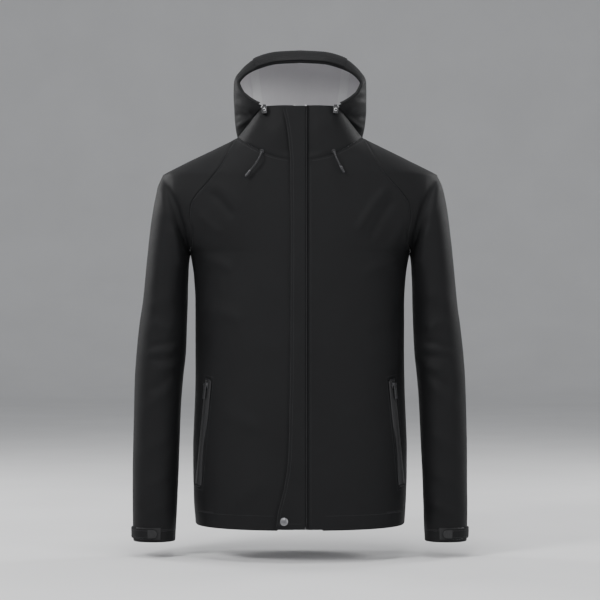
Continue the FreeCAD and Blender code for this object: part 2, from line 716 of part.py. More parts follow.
S_SEAM = 0.30
half = hood_grid(0, S_SEAM, 0, 1, 4, 12)
gh = [[(-p[0], p[1], p[2]) for p in reversed(r[1:])] + r for r in half]
gh = inset(gh, 0.3, 0.3, 0, BODY_GAP)
add("hood_centre_panel", shell(gh, hood_ref, 0, FAB))
g = hood_grid(S_SEAM, 0.975, 0, 1, 10, 12)
g = inset(g, 0.3, 0, 0, BODY_GAP)


def hood_side_ref(p):
    return ((35.0 if p[0] > 0 else -35.0), 10.0, 55.0)


add("hood_side_left", shell(g, hood_side_ref, 0, FAB))
add("hood_side_right", shell(mir(g), hood_side_ref, 0, FAB))
half = hood_grid(0, 0.31, 0.0, 0.2, 4, 4)
gbr = [[(-p[0], p[1], p[2]) for p in reversed(r[1:])] + r for r in half]
add("hood_brim", shell(gbr, hood_ref, -2.3, -0.55))
# folded hem of the face opening, an inner band that makes the cord channel
half = hood_grid(0, 0.95, 0.012, 0.075, 18, 2)
gf2 = [[(-p[0], p[1], p[2]) for p in reversed(r[1:])] + r for r in half]


def hood_in_ref(p):
    return (p[0] * 0.3, p[1] + 20.0, 60.0)


add("hood_opening_hem", shell(gf2, hood_in_ref, 5.6, 6.6))
line = [hood_pt(0.93 * k / 40.0, 0.04) for k in range(41)]
line2 = [hood_pt(0.93 * k / 40.0, 0.05) for k in range(41)]
full = [(-p[0], p[1], p[2]) for p in reversed(line[1:])] + line
full2 = [(-p[0], p[1], p[2]) for p in reversed(line2[1:])] + line2
nr = normals([full, full2], hood_in_ref, False)[0]
add("hood_drawcord", tube_poly([mix(p, n, -4.15) for p, n in zip(full, nr)], 1.2))
# seam tapes follow the flat facets of the panels on both sides of the seam
g = []
for i in range(1, 12):
    t = i / 12.0
    a, c, b = hood_pt(0.225, t), hood_pt(S_SEAM, t), hood_pt(S_SEAM + 0.0675, t)
    g.append([lerp(c, a, 0.4), c, lerp(c, b, 0.44)])
tp = shell(g, hood_ref, FAB + 0.5, FAB + 0.9)
tp2 = shell(mir(g), hood_ref, FAB + 0.5, FAB + 0.9)
add("hood_seam_tapes", tp, tp2)

# hood cordlocks on the collar's top corners
hcx = (66.0, -93.5, 37.0)
hlk = cordlock(hcx, (0, 0, 1), (1, 0, 0), (0, 1, 0), 6.0, 4.6, 4.6, 3.3, 9.0)
hbt = button(hcx, (0, 0, 1), 6.0, 2.95, 9.0, 4.0)
add("hood_cordlock_bodies", hlk, mirs(hlk))
add("hood_button_left", hbt)
add("hood_button_right", mirs(hbt))

# ---------------------------------------------------------------- hood cord tails
EX_L = (62.0, -39.0)
EX_R = (-70.0, -39.0)


def on_front(x, z, off):
    # point in front of the front shell (collar/chest) by off
    if z > Z_CF_NECK + (Z_NECKSIDE - Z_CF_NECK) * (abs(x) / X_NECK) ** 2.2:
        u = abs(x) / X_NECK
        # find collar v
        lo, hi = 0.0, 1.0
        best = None
        for _ in range(30):
            m = (lo + hi) / 2
            # adjust u so that x matches
            uu = u
            for _k in range(12):
                q = collar_pt(uu, m)
                uu = min(1.0, uu * (abs(x) / max(q[0], 1e-6)))
            q = collar_pt(uu, m)
            if q[2] < z:
                lo = m
            else:
                hi = m
            best = q
        y = best[1]
    else:
        y = ysurf(x, z, False)
    return (x, y - off, z)


def rounded_route(pts, r):
    # straight runs joined by tangent arcs, each arc as large as its runs allow
    edges = []
    radii = []
    start = V(*pts[0])
    n = len(pts)
    for i in range(1, n - 1):
        a, b, c = V(*pts[i - 1]), V(*pts[i]), V(*pts[i + 1])
        u1 = (b - a)
        u2 = (c - b)
        l1, l2 = u1.Length, u2.Length
        u1.normalize()
        u2.normalize()
        ang = u1.getAngle(u2)
        tlen = 0.45 * min(l1, l2)
        rad = tlen / math.tan(ang / 2)
        p1 = b - u1 * tlen
        p2 = b + u2 * tlen
        bis = (u2 - u1)
        bis.normalize()
        cen = b + bis * (rad / math.cos(ang / 2))
        dirm = (b - cen)
        dirm.normalize()
        mid = cen + dirm * rad
        if (p1 - start).Length > 1e-6:
            edges.append(Part.LineSegment(start, p1).toShape())
        edges.append(Part.Arc(p1, mid, p2).toShape())
        start = p2
        radii.append(round(rad, 1))
    edges.append(Part.LineSegment(start, V(*pts[-1])).toShape())
    w = Part.Wire(edges)
    t0 = V(*pts[1]) - V(*pts[0])
    t0.normalize()
    circ = Part.Wire([Part.Circle(V(*pts[0]), t0, r).toShape()])
    tube = w.makePipeShell([circ], True, False)
    return tube, w.Length, radii


def tail(ex, steps, sgn):
    # first point on the eyelet's outer face, then one run per (length, direction)
    p0 = on_front(ex[0], ex[1], 0.0)
    n0 = unit((0.15 * sgn, -0.93, -0.34))
    pts = [mix(p0, n0, 2.4)]
    pts.append(mix(pts[-1], n0, 8.0))
    for ln, d in steps:
        pts.append(mix(pts[-1], unit((d[0] * sgn, d[1], d[2])), ln))
    return p0, n0, pts


TAIL_L = [(8.5, (0.25, -0.45, -0.85)), (10.0, (0.38, 0.05, -0.92)), (9.0, (0.50, 0.10, -0.86))]
TAIL_R = [(8.5, (0.27, -0.45, -0.85)), (10.0, (0.48, 0.05, -0.875)), (11.0, (0.58, 0.09, -0.81)),
          (10.0, (0.62, 0.03, -0.76))]
print("cord tails")
tails = {}
for side, ex, steps, sgn in (("left", EX_L, TAIL_L, 1), ("right", EX_R, TAIL_R, -1)):
    p0, n0, pts = tail(ex, steps, sgn)
    tube, ln, radii = rounded_route(pts, CORD_D / 2)
    print(side, "length %.1f" % ln, "radii", radii, "volume %.1f / %.1f" % (tube.Volume, math.pi * CORD_D ** 2 / 4 * ln),
          "valid", tube.isValid())
    print("route", [tuple(round(c, 2) for c in p) for p in pts])
    add("hood_cord_" + side, tube)
    d = unit(vsub(pts[-1], pts[-2]))
    e = cyl(pts[-1], d, 2.6, 13.0)
    tip = Part.makeCone(2.6, 1.7, 2.0, V(*mix(pts[-1], d, 13.0)), V(*d))
    add("cord_end_" + side, e.fuse(tip).removeSplitter())
    ey = cyl(mix(p0, n0, 1.6), n0, 4.4, 0.8)
    tails[side] = ey
add("cord_eyelets", tails["left"], tails["right"])

# ---------------------------------------------------------------- sleeves
NT = 20


def sleeve_ref(p):
    sx = 1 if p[0] > 0 else -1
    return (sx * (258.0 if p[2] > -300 else 268.0), -4.0 + (p[2] + 410) * 0.07 if p[2] < -410 else 0.0, p[2] if p[2] < -320 else min(p[2], -200.0))


rows = []
s_el = s_of_z(-410.0)
srows = [0.0, 0.6, 1.2, 2.0, 2.8, 3.6, 4.4, 5.0, 5.5, 6.0, 6.5, s_el]
for s in srows:
    rows.append(sleeve_ring(s, NT))
pn_arm = unit((Z_TIP - Z_PIT, 0, -(X_TIP - X_PIT)))
rows[0] = [mix(p, pn_arm, BODY_GAP + 0.3) for p in rows[0]]
add("upper_sleeve_left", shell(rows, sleeve_ref, 0, FAB, True))
add("upper_sleeve_right", shell(mir(rows), sleeve_ref, 0, FAB, True))
rows = []
for k in range(13):
    z = -413.0 + (CUFF_Z + 413.0) * k / 12.0
    rows.append(sleeve_ring(s_of_z(z), NT))
add("forearm_left", shell(rows, sleeve_ref, 0, FAB, True))
add("forearm_right", shell(mir(rows), sleeve_ref, 0, FAB, True))
rows = [sleeve_ring(s_of_z(z), NT) for z in (-742.0, -753.0, -763.4)]
add("cuff_facing_left", shell(rows, sleeve_ref, FAB + 0.5, FAB + 1.5, True))
add("cuff_facing_right", shell(mir(rows), sleeve_ref, FAB + 0.5, FAB + 1.5, True))


# cuff tab and its fastening patch on the front outer side of the cuff
def cuff_arc(z, a0, a1, n, off):
    s = s_of_z(z)
    keys = list(range(len(RINGS)))
    ix, iz = splv(keys, [r[0] for r in RINGS], s)
    ox, oz = splv(keys, [r[1] for r in RINGS], s)
    b = spl([(k, r[2]) for k, r in zip(keys, RINGS)], s)
    yc = spl([(k, r[3]) for k, r in zip(keys, RINGS)], s)
    out = []
    for j in range(n + 1):
        a = math.radians(a0 + (a1 - a0) * j / n)
        c, q = math.cos(a), math.sin(a)
        c = math.copysign(abs(c) ** (2 / 2.2), c)
        q = math.copysign(abs(q) ** (2 / 2.2), q)
        out.append(((ix + ox) / 2 + ((ox - ix) / 2 + off) * c, yc + (b + off) * q, z))
    return out


g = [cuff_arc(z, -108.0, -40.0, 8, 0.0) for z in (-760.0, -738.0)]
add("cuff_patch_left", shell(g, sleeve_ref, -1.2, -0.3))
add("cuff_patch_right", shell(mir(g), sleeve_ref, -1.2, -0.3))
g = [cuff_arc(z, -100.0, 14.0, 12, 0.0) for z in (-759.0, -740.0)]
add("cuff_tab_left", shell(g, sleeve_ref, -3.3, -1.8))
add("cuff_tab_right", shell(mir(g), sleeve_ref, -3.3, -1.8))
h0 = cuff_arc(-750.0, 16.0, 16.5, 1, 2.5)[0]
print("cuff tab hinge", h0)

# ---------------------------------------------------------------- neck: hanger loop and blank label
lp = []
for k in range(13):
    a = math.pi * k / 12.0
    zl = LOOP[2] - 18.5 + 18.5 * max(0.0, math.sin(a)) ** 0.8
    lp.append((-28.0 * math.cos(a), LOOP[1] + 0.42 * (LOOP[2] - zl), zl))
yb = LOOP[1]
g = [[(x, y - 4.9, z) for x, y, z in lp], [(x, y + 2.6, z) for x, y, z in lp]]
add("hanger_loop", shell(g, lambda p: (0, yb, -60.0), 0.0, 1.4))
g = [[(x, depth_b(z), z) for x in (-22.0, 22.0)] for z in (-66.0, -36.0)]
add("neck_label", shell(g, axis_ref, 2.6, 3.4))

# ---------------------------------------------------------------- write
def centroid(*names):
    m, c = 0.0, V(0, 0, 0)
    for nm in names:
        for so_ in NODES[nm].Solids:
            m += so_.Volume
            c = c + so_.CenterOfMass * so_.Volume
    return [round(v, 1) for v in (c * (1 / m))]


print("sleeve centroid", centroid("upper_sleeve_left", "forearm_left", "cuff_facing_left", "cuff_tab_left"),
      "forearm", centroid("forearm_left", "cuff_facing_left", "cuff_tab_left"),
      "hood", centroid("hood_centre_panel", "hood_side_left", "hood_side_right", "hood_brim"))
tot = 0.0
for name in sorted(NODES):
    s = NODES[name]
    s = s.copy()
    s.translate(V(-LOOP[0], -LOOP[1], -LOOP[2]))
    ok = s.isValid()
    vol = sum(x.Volume for x in s.Solids)
    tot += vol
    if not ok or not s.Solids or vol <= 0:
        print("CHECK", name, ok, len(s.Solids), vol)
    s.exportStep("parts/%s.step" % name)
print("nodes", len(NODES), "volume cm3 %.1f" % (tot / 1000))
print("pocket dir", [round(c, 5) for c in pd], "normal", [round(c, 5) for c in pn], "w", [round(c, 5) for c in pw],
      "pull pivot", [round(c, 3) for c in PULL_AXIS_P], "len", round(PKL, 2))
print("zip len", round(LEN, 2), "pull pivot", [round(c, 3) for c in pc], "slider top", [round(c, 3) for c in so])
print("hood lock", hcx, "hem lock", [round(c, 3) for c in hc], [round(c, 5) for c in t1])
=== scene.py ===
import bpy
import math
import numpy as np
from mathutils import Vector, Matrix


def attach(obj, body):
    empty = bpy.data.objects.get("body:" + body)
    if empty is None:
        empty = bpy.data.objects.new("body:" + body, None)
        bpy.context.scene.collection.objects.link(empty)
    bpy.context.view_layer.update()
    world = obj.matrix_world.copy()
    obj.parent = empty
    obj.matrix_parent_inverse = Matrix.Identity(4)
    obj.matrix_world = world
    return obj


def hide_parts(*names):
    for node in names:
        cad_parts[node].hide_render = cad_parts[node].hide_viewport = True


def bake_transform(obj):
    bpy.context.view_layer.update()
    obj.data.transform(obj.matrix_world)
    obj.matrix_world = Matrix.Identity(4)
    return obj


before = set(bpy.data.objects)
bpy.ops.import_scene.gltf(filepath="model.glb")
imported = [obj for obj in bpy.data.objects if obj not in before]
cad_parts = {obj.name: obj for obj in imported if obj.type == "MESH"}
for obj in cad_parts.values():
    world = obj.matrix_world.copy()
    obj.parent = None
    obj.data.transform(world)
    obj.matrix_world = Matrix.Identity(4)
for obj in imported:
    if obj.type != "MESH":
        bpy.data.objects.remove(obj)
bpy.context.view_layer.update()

# ------------------------------------------------------------------ the jacket's shape (mm, garment frame)
LOOP = np.array([0.0, 84.0, -6.0])
P_EXP = 2.3
Z_HEM, Z_PIT, Z_TIP = -734.0, -225.0, -78.0
X_PIT, X_TIP = 207.0, 259.0
Z_NECKSIDE, X_NECK, Z_CF_NECK, Z_TOP = -8.0, 118.0, -55.0, 46.0
CF_TILT, CF_TOP, ARM_B = 0.07, 95.0, 71.0
ZIP_HALF = 12.0
FAB = 0.9

W_TAB = [(-745, 196.5), (-734, 197), (-684, 200), (-640, 201.5), (-592, 201.6), (-540, 199.8), (-480, 197.5),
         (-400, 196.5), (-320, 196.5), (-270, 199.5), (-240, 204), (-225, 207)]
DB_TAB = [(-745, 112), (-600, 114), (-450, 109), (-300, 118), (-225, 124), (-150, 126), (-78, 117), (-40, 103),
          (-8, 91), (5, 86), (30, 84)]
RAG_F = [(207.0, -225.0), (201.5, -205.0), (200.5, -183.0), (205.5, -163.0), (203.0, -137.0), (189.0, -115.0),
         (170.0, -94.0), (150.0, -68.0), (134.0, -38.0), (118.0, -8.0)]
RAG_B = [(207.0, -225.0), (202.0, -205.0), (200.0, -183.0), (198.0, -160.0), (190.0, -134.0), (174.0, -108.0),
         (156.0, -80.0), (140.0, -54.0), (128.0, -30.0), (118.0, -8.0)]
RINGS = [((207.0, -225.0), (259.0, -78.0), 71.0, 0.0),
         ((209.0, -236.0), (268.0, -100.0), 72.0, 0.5),
         ((210.5, -250.0), (277.0, -138.0), 72.5, 1.2),
         ((211.5, -268.0), (284.0, -190.0), 72.5, 2.0),
         ((212.5, -290.0), (290.5, -250.0), 71.0, 2.5),
         ((213.0, -318.0), (296.5, -316.0), 69.5, 3.0),
         ((214.5, -362.0), (303.0, -362.0), 68.0, 1.0),
         ((216.0, -410.0), (308.0, -410.0), 66.0, -2.5),
         ((220.5, -460.0), (311.5, -460.0), 63.0, -6.5),
         ((224.5, -515.0), (313.0, -515.0), 59.0, -11.0),
         ((227.0, -580.0), (314.0, -580.0), 54.0, -16.5),
         ((229.5, -640.0), (314.5, -640.0), 49.5, -21.0),
         ((231.5, -700.0), (314.5, -700.0), 45.0, -26.0),
         ((233.0, -740.0), (314.0, -740.0), 42.0, -29.0),
         ((234.0, -764.0), (313.0, -764.0), 41.0, -31.0)]
HOOD_S = [0.0, 0.15, 0.3, 0.45, 0.55, 0.7, 0.8, 0.9, 1.0]
HOOD_E = [(0, -54, 133), (42, -50, 131), (81, -38, 122), (108, -40, 106), (117, -48, 91), (109, -62, 72), (97, -72, 61),
          (83, -80, 52), (71, -85, 46)]
HOOD_C1 = [(0, 8, 196), (48, 8, 193), (95, 10, 178), (121, 2, 140), (129, -8, 112), (126, -30, 82), (116, -48, 64),
           (96, -68, 52), (73, -83, 45)]
HOOD_C2 = [(0, 150, 118), (46, 147, 117), (90, 130, 104), (122, 96, 78), (131, 66, 58), (131, 20, 40), (124, -14, 30),
           (103, -50, 34), (74, -80, 42)]


def spl(keys, vals, q):
    """Smooth curve through (keys, vals), limited so that it does not overshoot; q is an array."""
    keys = np.asarray(keys, float)
    vals = np.asarray(vals, float)
    q = np.asarray(q, float)
    h = np.diff(keys)
    d = np.diff(vals, axis=0) / (h[:, None] if vals.ndim > 1 else h)
    m = np.zeros_like(vals)
    m[0], m[-1] = d[0], d[-1]
    a, b = d[:-1], d[1:]
    with np.errstate(divide="ignore", invalid="ignore"):
        t = np.where(a * b > 0, 2 * a * b / (a + b), 0.0)
    m[1:-1] = t
    qq = np.clip(q, keys[0], keys[-1])
    i = np.clip(np.searchsorted(keys, qq, side="right") - 1, 0, len(keys) - 2)
    t = (qq - keys[i]) / h[i]
    hh = h[i]
    if vals.ndim > 1:
        t, hh = t[..., None], hh[..., None]
    return ((2 * t ** 3 - 3 * t ** 2 + 1) * vals[i] + (t ** 3 - 2 * t ** 2 + t) * hh * m[i]
            + (-2 * t ** 3 + 3 * t ** 2) * vals[i + 1] + (t ** 3 - t ** 2) * hh * m[i + 1])


def arm_x(z):
    return X_PIT + (z - Z_PIT) * (X_TIP - X_PIT) / (Z_TIP - Z_PIT)


def depth_f(z):
    return CF_TOP + CF_TILT * (Z_TOP - np.asarray(z, float))


def depth_b(z):
    return spl([k for k, _ in DB_TAB], [v for _, v in DB_TAB], z)


def half_w(z):
    z = np.asarray(z, float)
    low = spl([k for k, _ in W_TAB], [v for _, v in W_TAB], z)
    zm, zh = (Z_PIT + Z_TIP) / 2, (Z_TIP - Z_PIT) / 2
    b = ARM_B * np.sqrt(np.clip(1 - ((z - zm) / zh) ** 2, 0, 1))
    d = 0.5 * (depth_f(z) + depth_b(z))
    arm = arm_x(z) / (1 - (b / d) ** P_EXP) ** (1 / P_EXP)
    sh = X_TIP - (z - Z_TIP) * (X_TIP - X_NECK) / (Z_NECKSIDE - Z_TIP)
    nk = X_NECK - (z - Z_NECKSIDE) * 0.2
    return np.where(z <= Z_PIT, low, np.where(z <= Z_TIP, arm, np.where(z <= Z_NECKSIDE, sh, nk)))


def ysurf(x, z, back):
    q = np.clip(1 - (np.abs(x) / half_w(z)) ** P_EXP, 0, 1) ** (1 / P_EXP)
    return (depth_b(z) if back else -depth_f(z)) * q


def seam_pt(tab, s):
    tab = np.array(tab)
    return spl(np.linspace(0, 1, len(tab)), tab, s)


def hood_k(s):
    s = np.asarray(s, float)
    x = X_NECK * np.sin(np.clip(s / 0.75, 0, 1) * math.pi / 2)
    z = 5.0 - 13.0 * (x / X_NECK) ** 2
    y = ysurf(np.minimum(x, X_NECK - 0.01), z, True)
    low = np.stack([x, y, z], -1)
    t = np.clip((s - 0.75) / 0.25, 0, 1)[..., None]
    a, b = np.array([X_NECK, -2.0, Z_NECKSIDE]), np.array([72.0, -80.0, 42.0])
    return np.where(s[..., None] <= 0.75, low, a + (b - a) * t)


def hood_pt(s, t):
    e, c1, c2 = (spl(HOOD_S, q, s) for q in (HOOD_E, HOOD_C1, HOOD_C2))
    k = hood_k(s)
    t = np.asarray(t, float)[..., None]
    u = 1 - t
    return u ** 3 * e + 3 * u * u * t * c1 + 3 * u * t * t * c2 + t ** 3 * k


def collar_pt(u, v):
    u, v = np.asarray(u, float), np.asarray(v, float)
    x = X_NECK * u
    z = Z_CF_NECK + (Z_NECKSIDE - Z_CF_NECK) * u ** 2.2
    y = ysurf(np.minimum(x, X_NECK - 0.05), z, False)
    w = np.clip((u - 0.97) / 0.03, 0, 1)
    y = y * (1 - w) + -2.0 * w
    low = np.stack([x, y, z], -1)
    top = np.stack([70.0 * u, -CF_TOP + 13.0 * u ** 2.3, Z_TOP - 1.0 * u * u], -1)
    p = low + (top - low) * v[..., None]
    p[..., 1] -= 12.0 * np.sin(math.pi * v) * u * (1 - u)
    return p


def sleeve_pt(s, a):
    """s 0..14 along the rings, a the angle: 0 outer, pi inner, negative towards the front."""
    k = np.arange(len(RINGS))
    i = spl(k, [r[0] for r in RINGS], s)
    o = spl(k, [r[1] for r in RINGS], s)
    b = spl(k, [r[2] for r in RINGS], s)
    yc = spl(k, [r[3] for r in RINGS], s)
    w = np.clip(s / 2.0, 0, 1)
    ex = 2 / (2.0 + 0.2 * w)
    c, q = np.cos(a), np.sin(a)
    c = np.sign(c) * np.abs(c) ** ex
    q = np.sign(q) * np.abs(q) ** ex
    mid, hf = (i + o) / 2, (o - i) / 2
    x = mid[..., 0] + hf[..., 0] * c
    z = mid[..., 1] + hf[..., 1] * c
    y = yc + b * q
    # the first rings follow the armhole line of the body surface
    y0 = ysurf(np.minimum(x, half_w(z) - 0.01), z, True) * (q > 0) + ysurf(np.minimum(x, half_w(z) - 0.01), z, False) * (q <= 0)
    w0 = np.clip(1 - s / 1.5, 0, 1) ** 2
    y = np.where(s < 1.5, y * (1 - w0) + y0 * w0, y)
    return np.stack([x, y, z], -1)


def s_of_z(z):
    k = np.arange(len(RINGS), dtype=float)
    zz = np.array([r[1][1] for r in RINGS])
    return np.interp(-np.asarray(z, float), -zz[5:], k[5:])


# ------------------------------------------------------------------ panel grids
NL, NUP, NU = 124, 44, 60         # rows below and above the underarm, columns
NRING = 2 * NUP                   # points round a sleeve


def panel_grid(back, x0):
    out = []
    f = np.linspace(0, 1, NU + 1)
    for z in np.linspace(Z_HEM, Z_PIT, NL + 1):
        w = half_w(z)
        f0 = math.asin((x0 / w) ** (P_EXP / 2))
        a = f0 + (math.pi / 2 - f0) * f
        x = w * np.sin(a) ** (2 / P_EXP)
        y = (depth_b(z) if back else -depth_f(z)) * np.clip(np.cos(a), 0, 1) ** (2 / P_EXP)
        y[-1] = 0.0
        out.append(np.stack([x, y, np.full_like(x, z)], -1))
    for k in range(1, NUP + 1):
        s = k / NUP
        xr, zr = seam_pt(RAG_B if back else RAG_F, s)
        zc = Z_PIT + ((5.0 if back else Z_CF_NECK) - Z_PIT) * s
        w = half_w(zr)
        fr = math.asin(min(1.0, (xr / w) ** (P_EXP / 2)))
        f0 = math.asin((x0 / w) ** (P_EXP / 2))
        a = f0 + (fr - f0) * f
        x = w * np.sin(a) ** (2 / P_EXP)
        z = zc + (zr - zc) * (x / xr) ** 2.2
        y = ysurf(x, z, back)
        if k == NUP:
            y[-1] = 0.0
        out.append(np.stack([x, y, z], -1))
    return np.array(out)


def shoulder_grid():
    rows = []
    t = np.linspace(0, 1, 17)
    zm, zh = (Z_PIT + Z_TIP) / 2, (Z_TIP - Z_PIT) / 2
    for half in (0, 1):
        rng = range(0, NUP + 1) if half == 0 else range(NUP - 1, -1, -1)
        for k in rng:
            s = k / NUP
            x, z = seam_pt(RAG_F if half == 0 else RAG_B, s)
            za = zm - zh * math.cos(math.pi * s)
            xa = arm_x(za)
            xx, zz = x + (xa - x) * t, z + (za - z) * t
            yy = ysurf(np.minimum(xx, half_w(zz) - 0.001), zz, half == 1)
            if k == NUP or k == 0:
                yy = yy * 0
            rows.append(np.stack([xx, yy, zz], -1))
    return np.array(rows)


def sleeve_grid():
    s = np.concatenate([np.linspace(0, 5, 46)[:-1], s_of_z(np.linspace(-318, -764, 92))])
    a = math.pi - 2 * math.pi * np.arange(NRING) / NRING      # pi at the underarm, going to the front (negative y)
    a = -a
    S, A = np.meshgrid(s, a, indexing="ij")
    return sleeve_pt(S, A)


G = {}
G["front"] = panel_grid(False, ZIP_HALF)
gb = panel_grid(True, 1e-6)
G["back"] = np.concatenate([gb[:, :0:-1] * np.array([-1, 1, 1]), gb], 1)
G["shoulder"] = shoulder_grid()
G["sleeve"] = sleeve_grid()
u = np.linspace(ZIP_HALF / X_NECK, 1, 31)
v = np.linspace(0, 1, 29)
G["collar"] = collar_pt(*np.meshgrid(u, v)[0:2])
zc = G["collar"][:, 0, 2]
G["collar"][:, 0, 0] = ZIP_HALF
G["collar"][:, 0, 1] = -depth_f(zc) * 0.998

# ------------------------------------------------------------------ noise and folds


def hash3(i, j, k, seed):
    n = (i * 73856093) ^ (j * 19349663) ^ (k * 83492791) ^ (seed * 2654435761)
    n = (n ^ (n >> 13)) * 1274126177
    n = n & 0x7FFFFFFF
    return (n % 100003) / 50001.5 - 1.0


def noise(p, scale, seed=0, stretch=(1, 1, 1)):
    """Smooth value noise of points p in mm, about -1..1."""
    q = p / (scale * np.array(stretch, float)) + 117.3
    i = np.floor(q).astype(np.int64)
    f = q - i
    f = f * f * f * (f * (f * 6 - 15) + 10)
    r = 0
    for a in (0, 1):
        for b in (0, 1):
            for c in (0, 1):
                w = (f[..., 0] if a else 1 - f[..., 0]) * (f[..., 1] if b else 1 - f[..., 1]) * (f[..., 2] if c else 1 - f[..., 2])
                r = r + w * hash3(i[..., 0] + a, i[..., 1] + b, i[..., 2] + c, seed)
    return r


def fold(p, a, b, width, amp, face, curve=0.0, taper=0.25):
    """A ridge (amp > 0) or valley along the line a-b in the x-z view, on the front ('f') or back ('b') side."""
    a, b = np.array(a, float), np.array(b, float)
    d = b - a
    ln = np.hypot(*d)
    d = d / ln
    n = np.array([-d[1], d[0]])
    q = np.stack([p[..., 0], p[..., 2]], -1) - a
    t = (q @ d) / ln
    off = q @ n - curve * (1 - (2 * t - 1) ** 2)
    e = np.clip(t / taper, 0, 1) * np.clip((1 - t) / taper, 0, 1)
    e = e * e * (3 - 2 * e)
    g = np.exp(-(off / width) ** 2)
    side = np.clip((-p[..., 1] if face == "f" else p[..., 1]) / 25.0 + 0.35, 0, 1)
    return amp * g * e * side


def grid_normals(g, closed=False):
    if closed:
        dj = np.roll(g, -1, 1) - np.roll(g, 1, 1)
    else:
        dj = np.gradient(g, axis=1)
    di = np.gradient(g, axis=0)
    n = np.cross(di, dj)
    ln = np.linalg.norm(n, axis=-1, keepdims=True)
    n = n / np.maximum(ln, 1e-9)
    return n


def outward(n, g, ref):
    s = np.sign(np.sum(n * (g - ref), -1))
    # one sign for the whole panel: the majority
    return n * (1.0 if s.sum() >= 0 else -1.0)




# ------------------------------------------------------------------ helpers for meshes
def row(p):
    """garment millimetres to the row frame in metres"""
    return (np.asarray(p, float) - LOOP) / 1000.0


def quads(ni, nj, closed=False):
    i = np.arange(ni - 1)[:, None]
    j = np.arange(nj if closed else nj - 1)[None, :]
    k = (j + 1) % nj
    a, b, c, d = i * nj + j, i * nj + k, (i + 1) * nj + k, (i + 1) * nj + j
    return np.stack([a, b, c, d], -1).reshape(-1, 4)


def weld(P, F, tol=0.02):
    key = np.round(P / tol).astype(np.int64)
    _, first, inv = np.unique(key, axis=0, return_index=True, return_inverse=True)
    inv = inv.reshape(-1)
    order = np.argsort(first)
    rank = np.empty_like(order)
    rank[order] = np.arange(len(order))
    inv = rank[inv]
    first = first[order]
    faces = []
    for f in inv[F]:
        g = []
        for x in f:
            if not g or g[-1] != x:
                g.append(int(x))
        if len(g) > 1 and g[0] == g[-1]:
            g.pop()
        if len(set(g)) >= 3 and len(set(g)) == len(g):
            faces.append(tuple(g))
    return P[first], faces, inv


def vnormals(P, faces):
    N = np.zeros_like(P)
    for size in (3, 4):
        F = np.array([f for f in faces if len(f) == size])
        if not len(F):
            continue
        if size == 4:
            n = np.cross(P[F[:, 2]] - P[F[:, 0]], P[F[:, 3]] - P[F[:, 1]])
        else:
            n = np.cross(P[F[:, 1]] - P[F[:, 0]], P[F[:, 2]] - P[F[:, 0]])
        for c in range(size):
            np.add.at(N, F[:, c], n)
    return N / np.maximum(np.linalg.norm(N, axis=1, keepdims=True), 1e-12)


def flip_to(P, faces, ref):
    n = vnormals(P, faces)
    if np.sum(n * (P - ref(P))) < 0:
        faces = [tuple(reversed(f)) for f in faces]
    return faces


def make(name, P, faces, mats=(), index=None, smooth=True, normals=None):
    me = bpy.data.meshes.new(name)
    me.from_pydata(row(P).tolist(), [], [list(map(int, f)) for f in faces])
    me.update()
    for m in mats:
        me.materials.append(m)
    if index is not None:
        me.polygons.foreach_set("material_index", np.asarray(index, np.int32))
    me.polygons.foreach_set("use_smooth", np.full(len(me.polygons), smooth))
    o = bpy.data.objects.new(name, me)
    bpy.context.scene.collection.objects.link(o)
    if normals is not None:
        me.normals_split_custom_set_from_vertices(normals.tolist())
    return o


def thick(name, P, faces, t=FAB, mats=(), N=None):
    """Closed thin solid: outer surface P, inner surface t below it; outer, inner and edge faces get slots 0, 1, 2."""
    if N is None:
        N = vnormals(P, faces)
    n = len(P)
    Q = P - N * t
    cnt = {}
    for f in faces:
        for a, b in zip(f, f[1:] + f[:1]):
            cnt[(a, b)] = cnt.get((a, b), 0) + 1
    rim = [(a, b) for (a, b) in cnt if (b, a) not in cnt]
    # edge strip: one quad per rim edge joining the outer and inner surfaces
    F = list(faces) + [tuple(x + n for x in reversed(f)) for f in faces]
    idx = [0] * len(faces) + [1] * len(faces)
    for a, b in rim:
        F.append((b, a, a + n, b + n))
        idx.append(2)
    allN = np.concatenate([N, -N])
    o = make(name, np.concatenate([P, Q]), F, mats, idx, True, None)
    me = o.data
    # smooth shading across the panel, and the rim edges are marked sharp so the rim faces stay hard
    sharp = me.attributes.get("sharp_edge") or me.attributes.new("sharp_edge", "BOOLEAN", "EDGE")
    rimset = set(frozenset(e) for e in rim) | set(frozenset((a + n, b + n)) for a, b in rim)
    vals = [frozenset(e.vertices) in rimset for e in me.edges]
    sharp.data.foreach_set("value", vals)
    return o, allN


# ------------------------------------------------------------------ materials
def nt_new(name):
    m = bpy.data.materials.new(name)
    m.use_nodes = True
    nt = m.node_tree
    b = next(n for n in nt.nodes if n.type == "BSDF_PRINCIPLED")
    return m, nt, b


def ramp(nt, fac, stops):
    r = nt.nodes.new("ShaderNodeValToRGB")
    while len(r.color_ramp.elements) < len(stops):
        r.color_ramp.elements.new(0.5)
    for e, (p, c) in zip(r.color_ramp.elements, stops):
        e.position = p
        e.color = (*c, 1)
    nt.links.new(fac, r.inputs[0])
    return r.outputs[0]


def coords(nt, scale=(1, 1, 1)):
    tc = nt.nodes.new("ShaderNodeTexCoord")
    mp = nt.nodes.new("ShaderNodeMapping")
    mp.inputs["Scale"].default_value = scale
    nt.links.new(tc.outputs["Object"], mp.inputs[0])
    return mp.outputs[0]


def tex_noise(nt, vec, scale, detail=3.0, rough=0.55):
    n = nt.nodes.new("ShaderNodeTexNoise")
    n.inputs["Scale"].default_value = scale
    n.inputs["Detail"].default_value = detail
    n.inputs["Roughness"].default_value = rough
    nt.links.new(vec, n.inputs["Vector"])
    return n.outputs["Fac"]


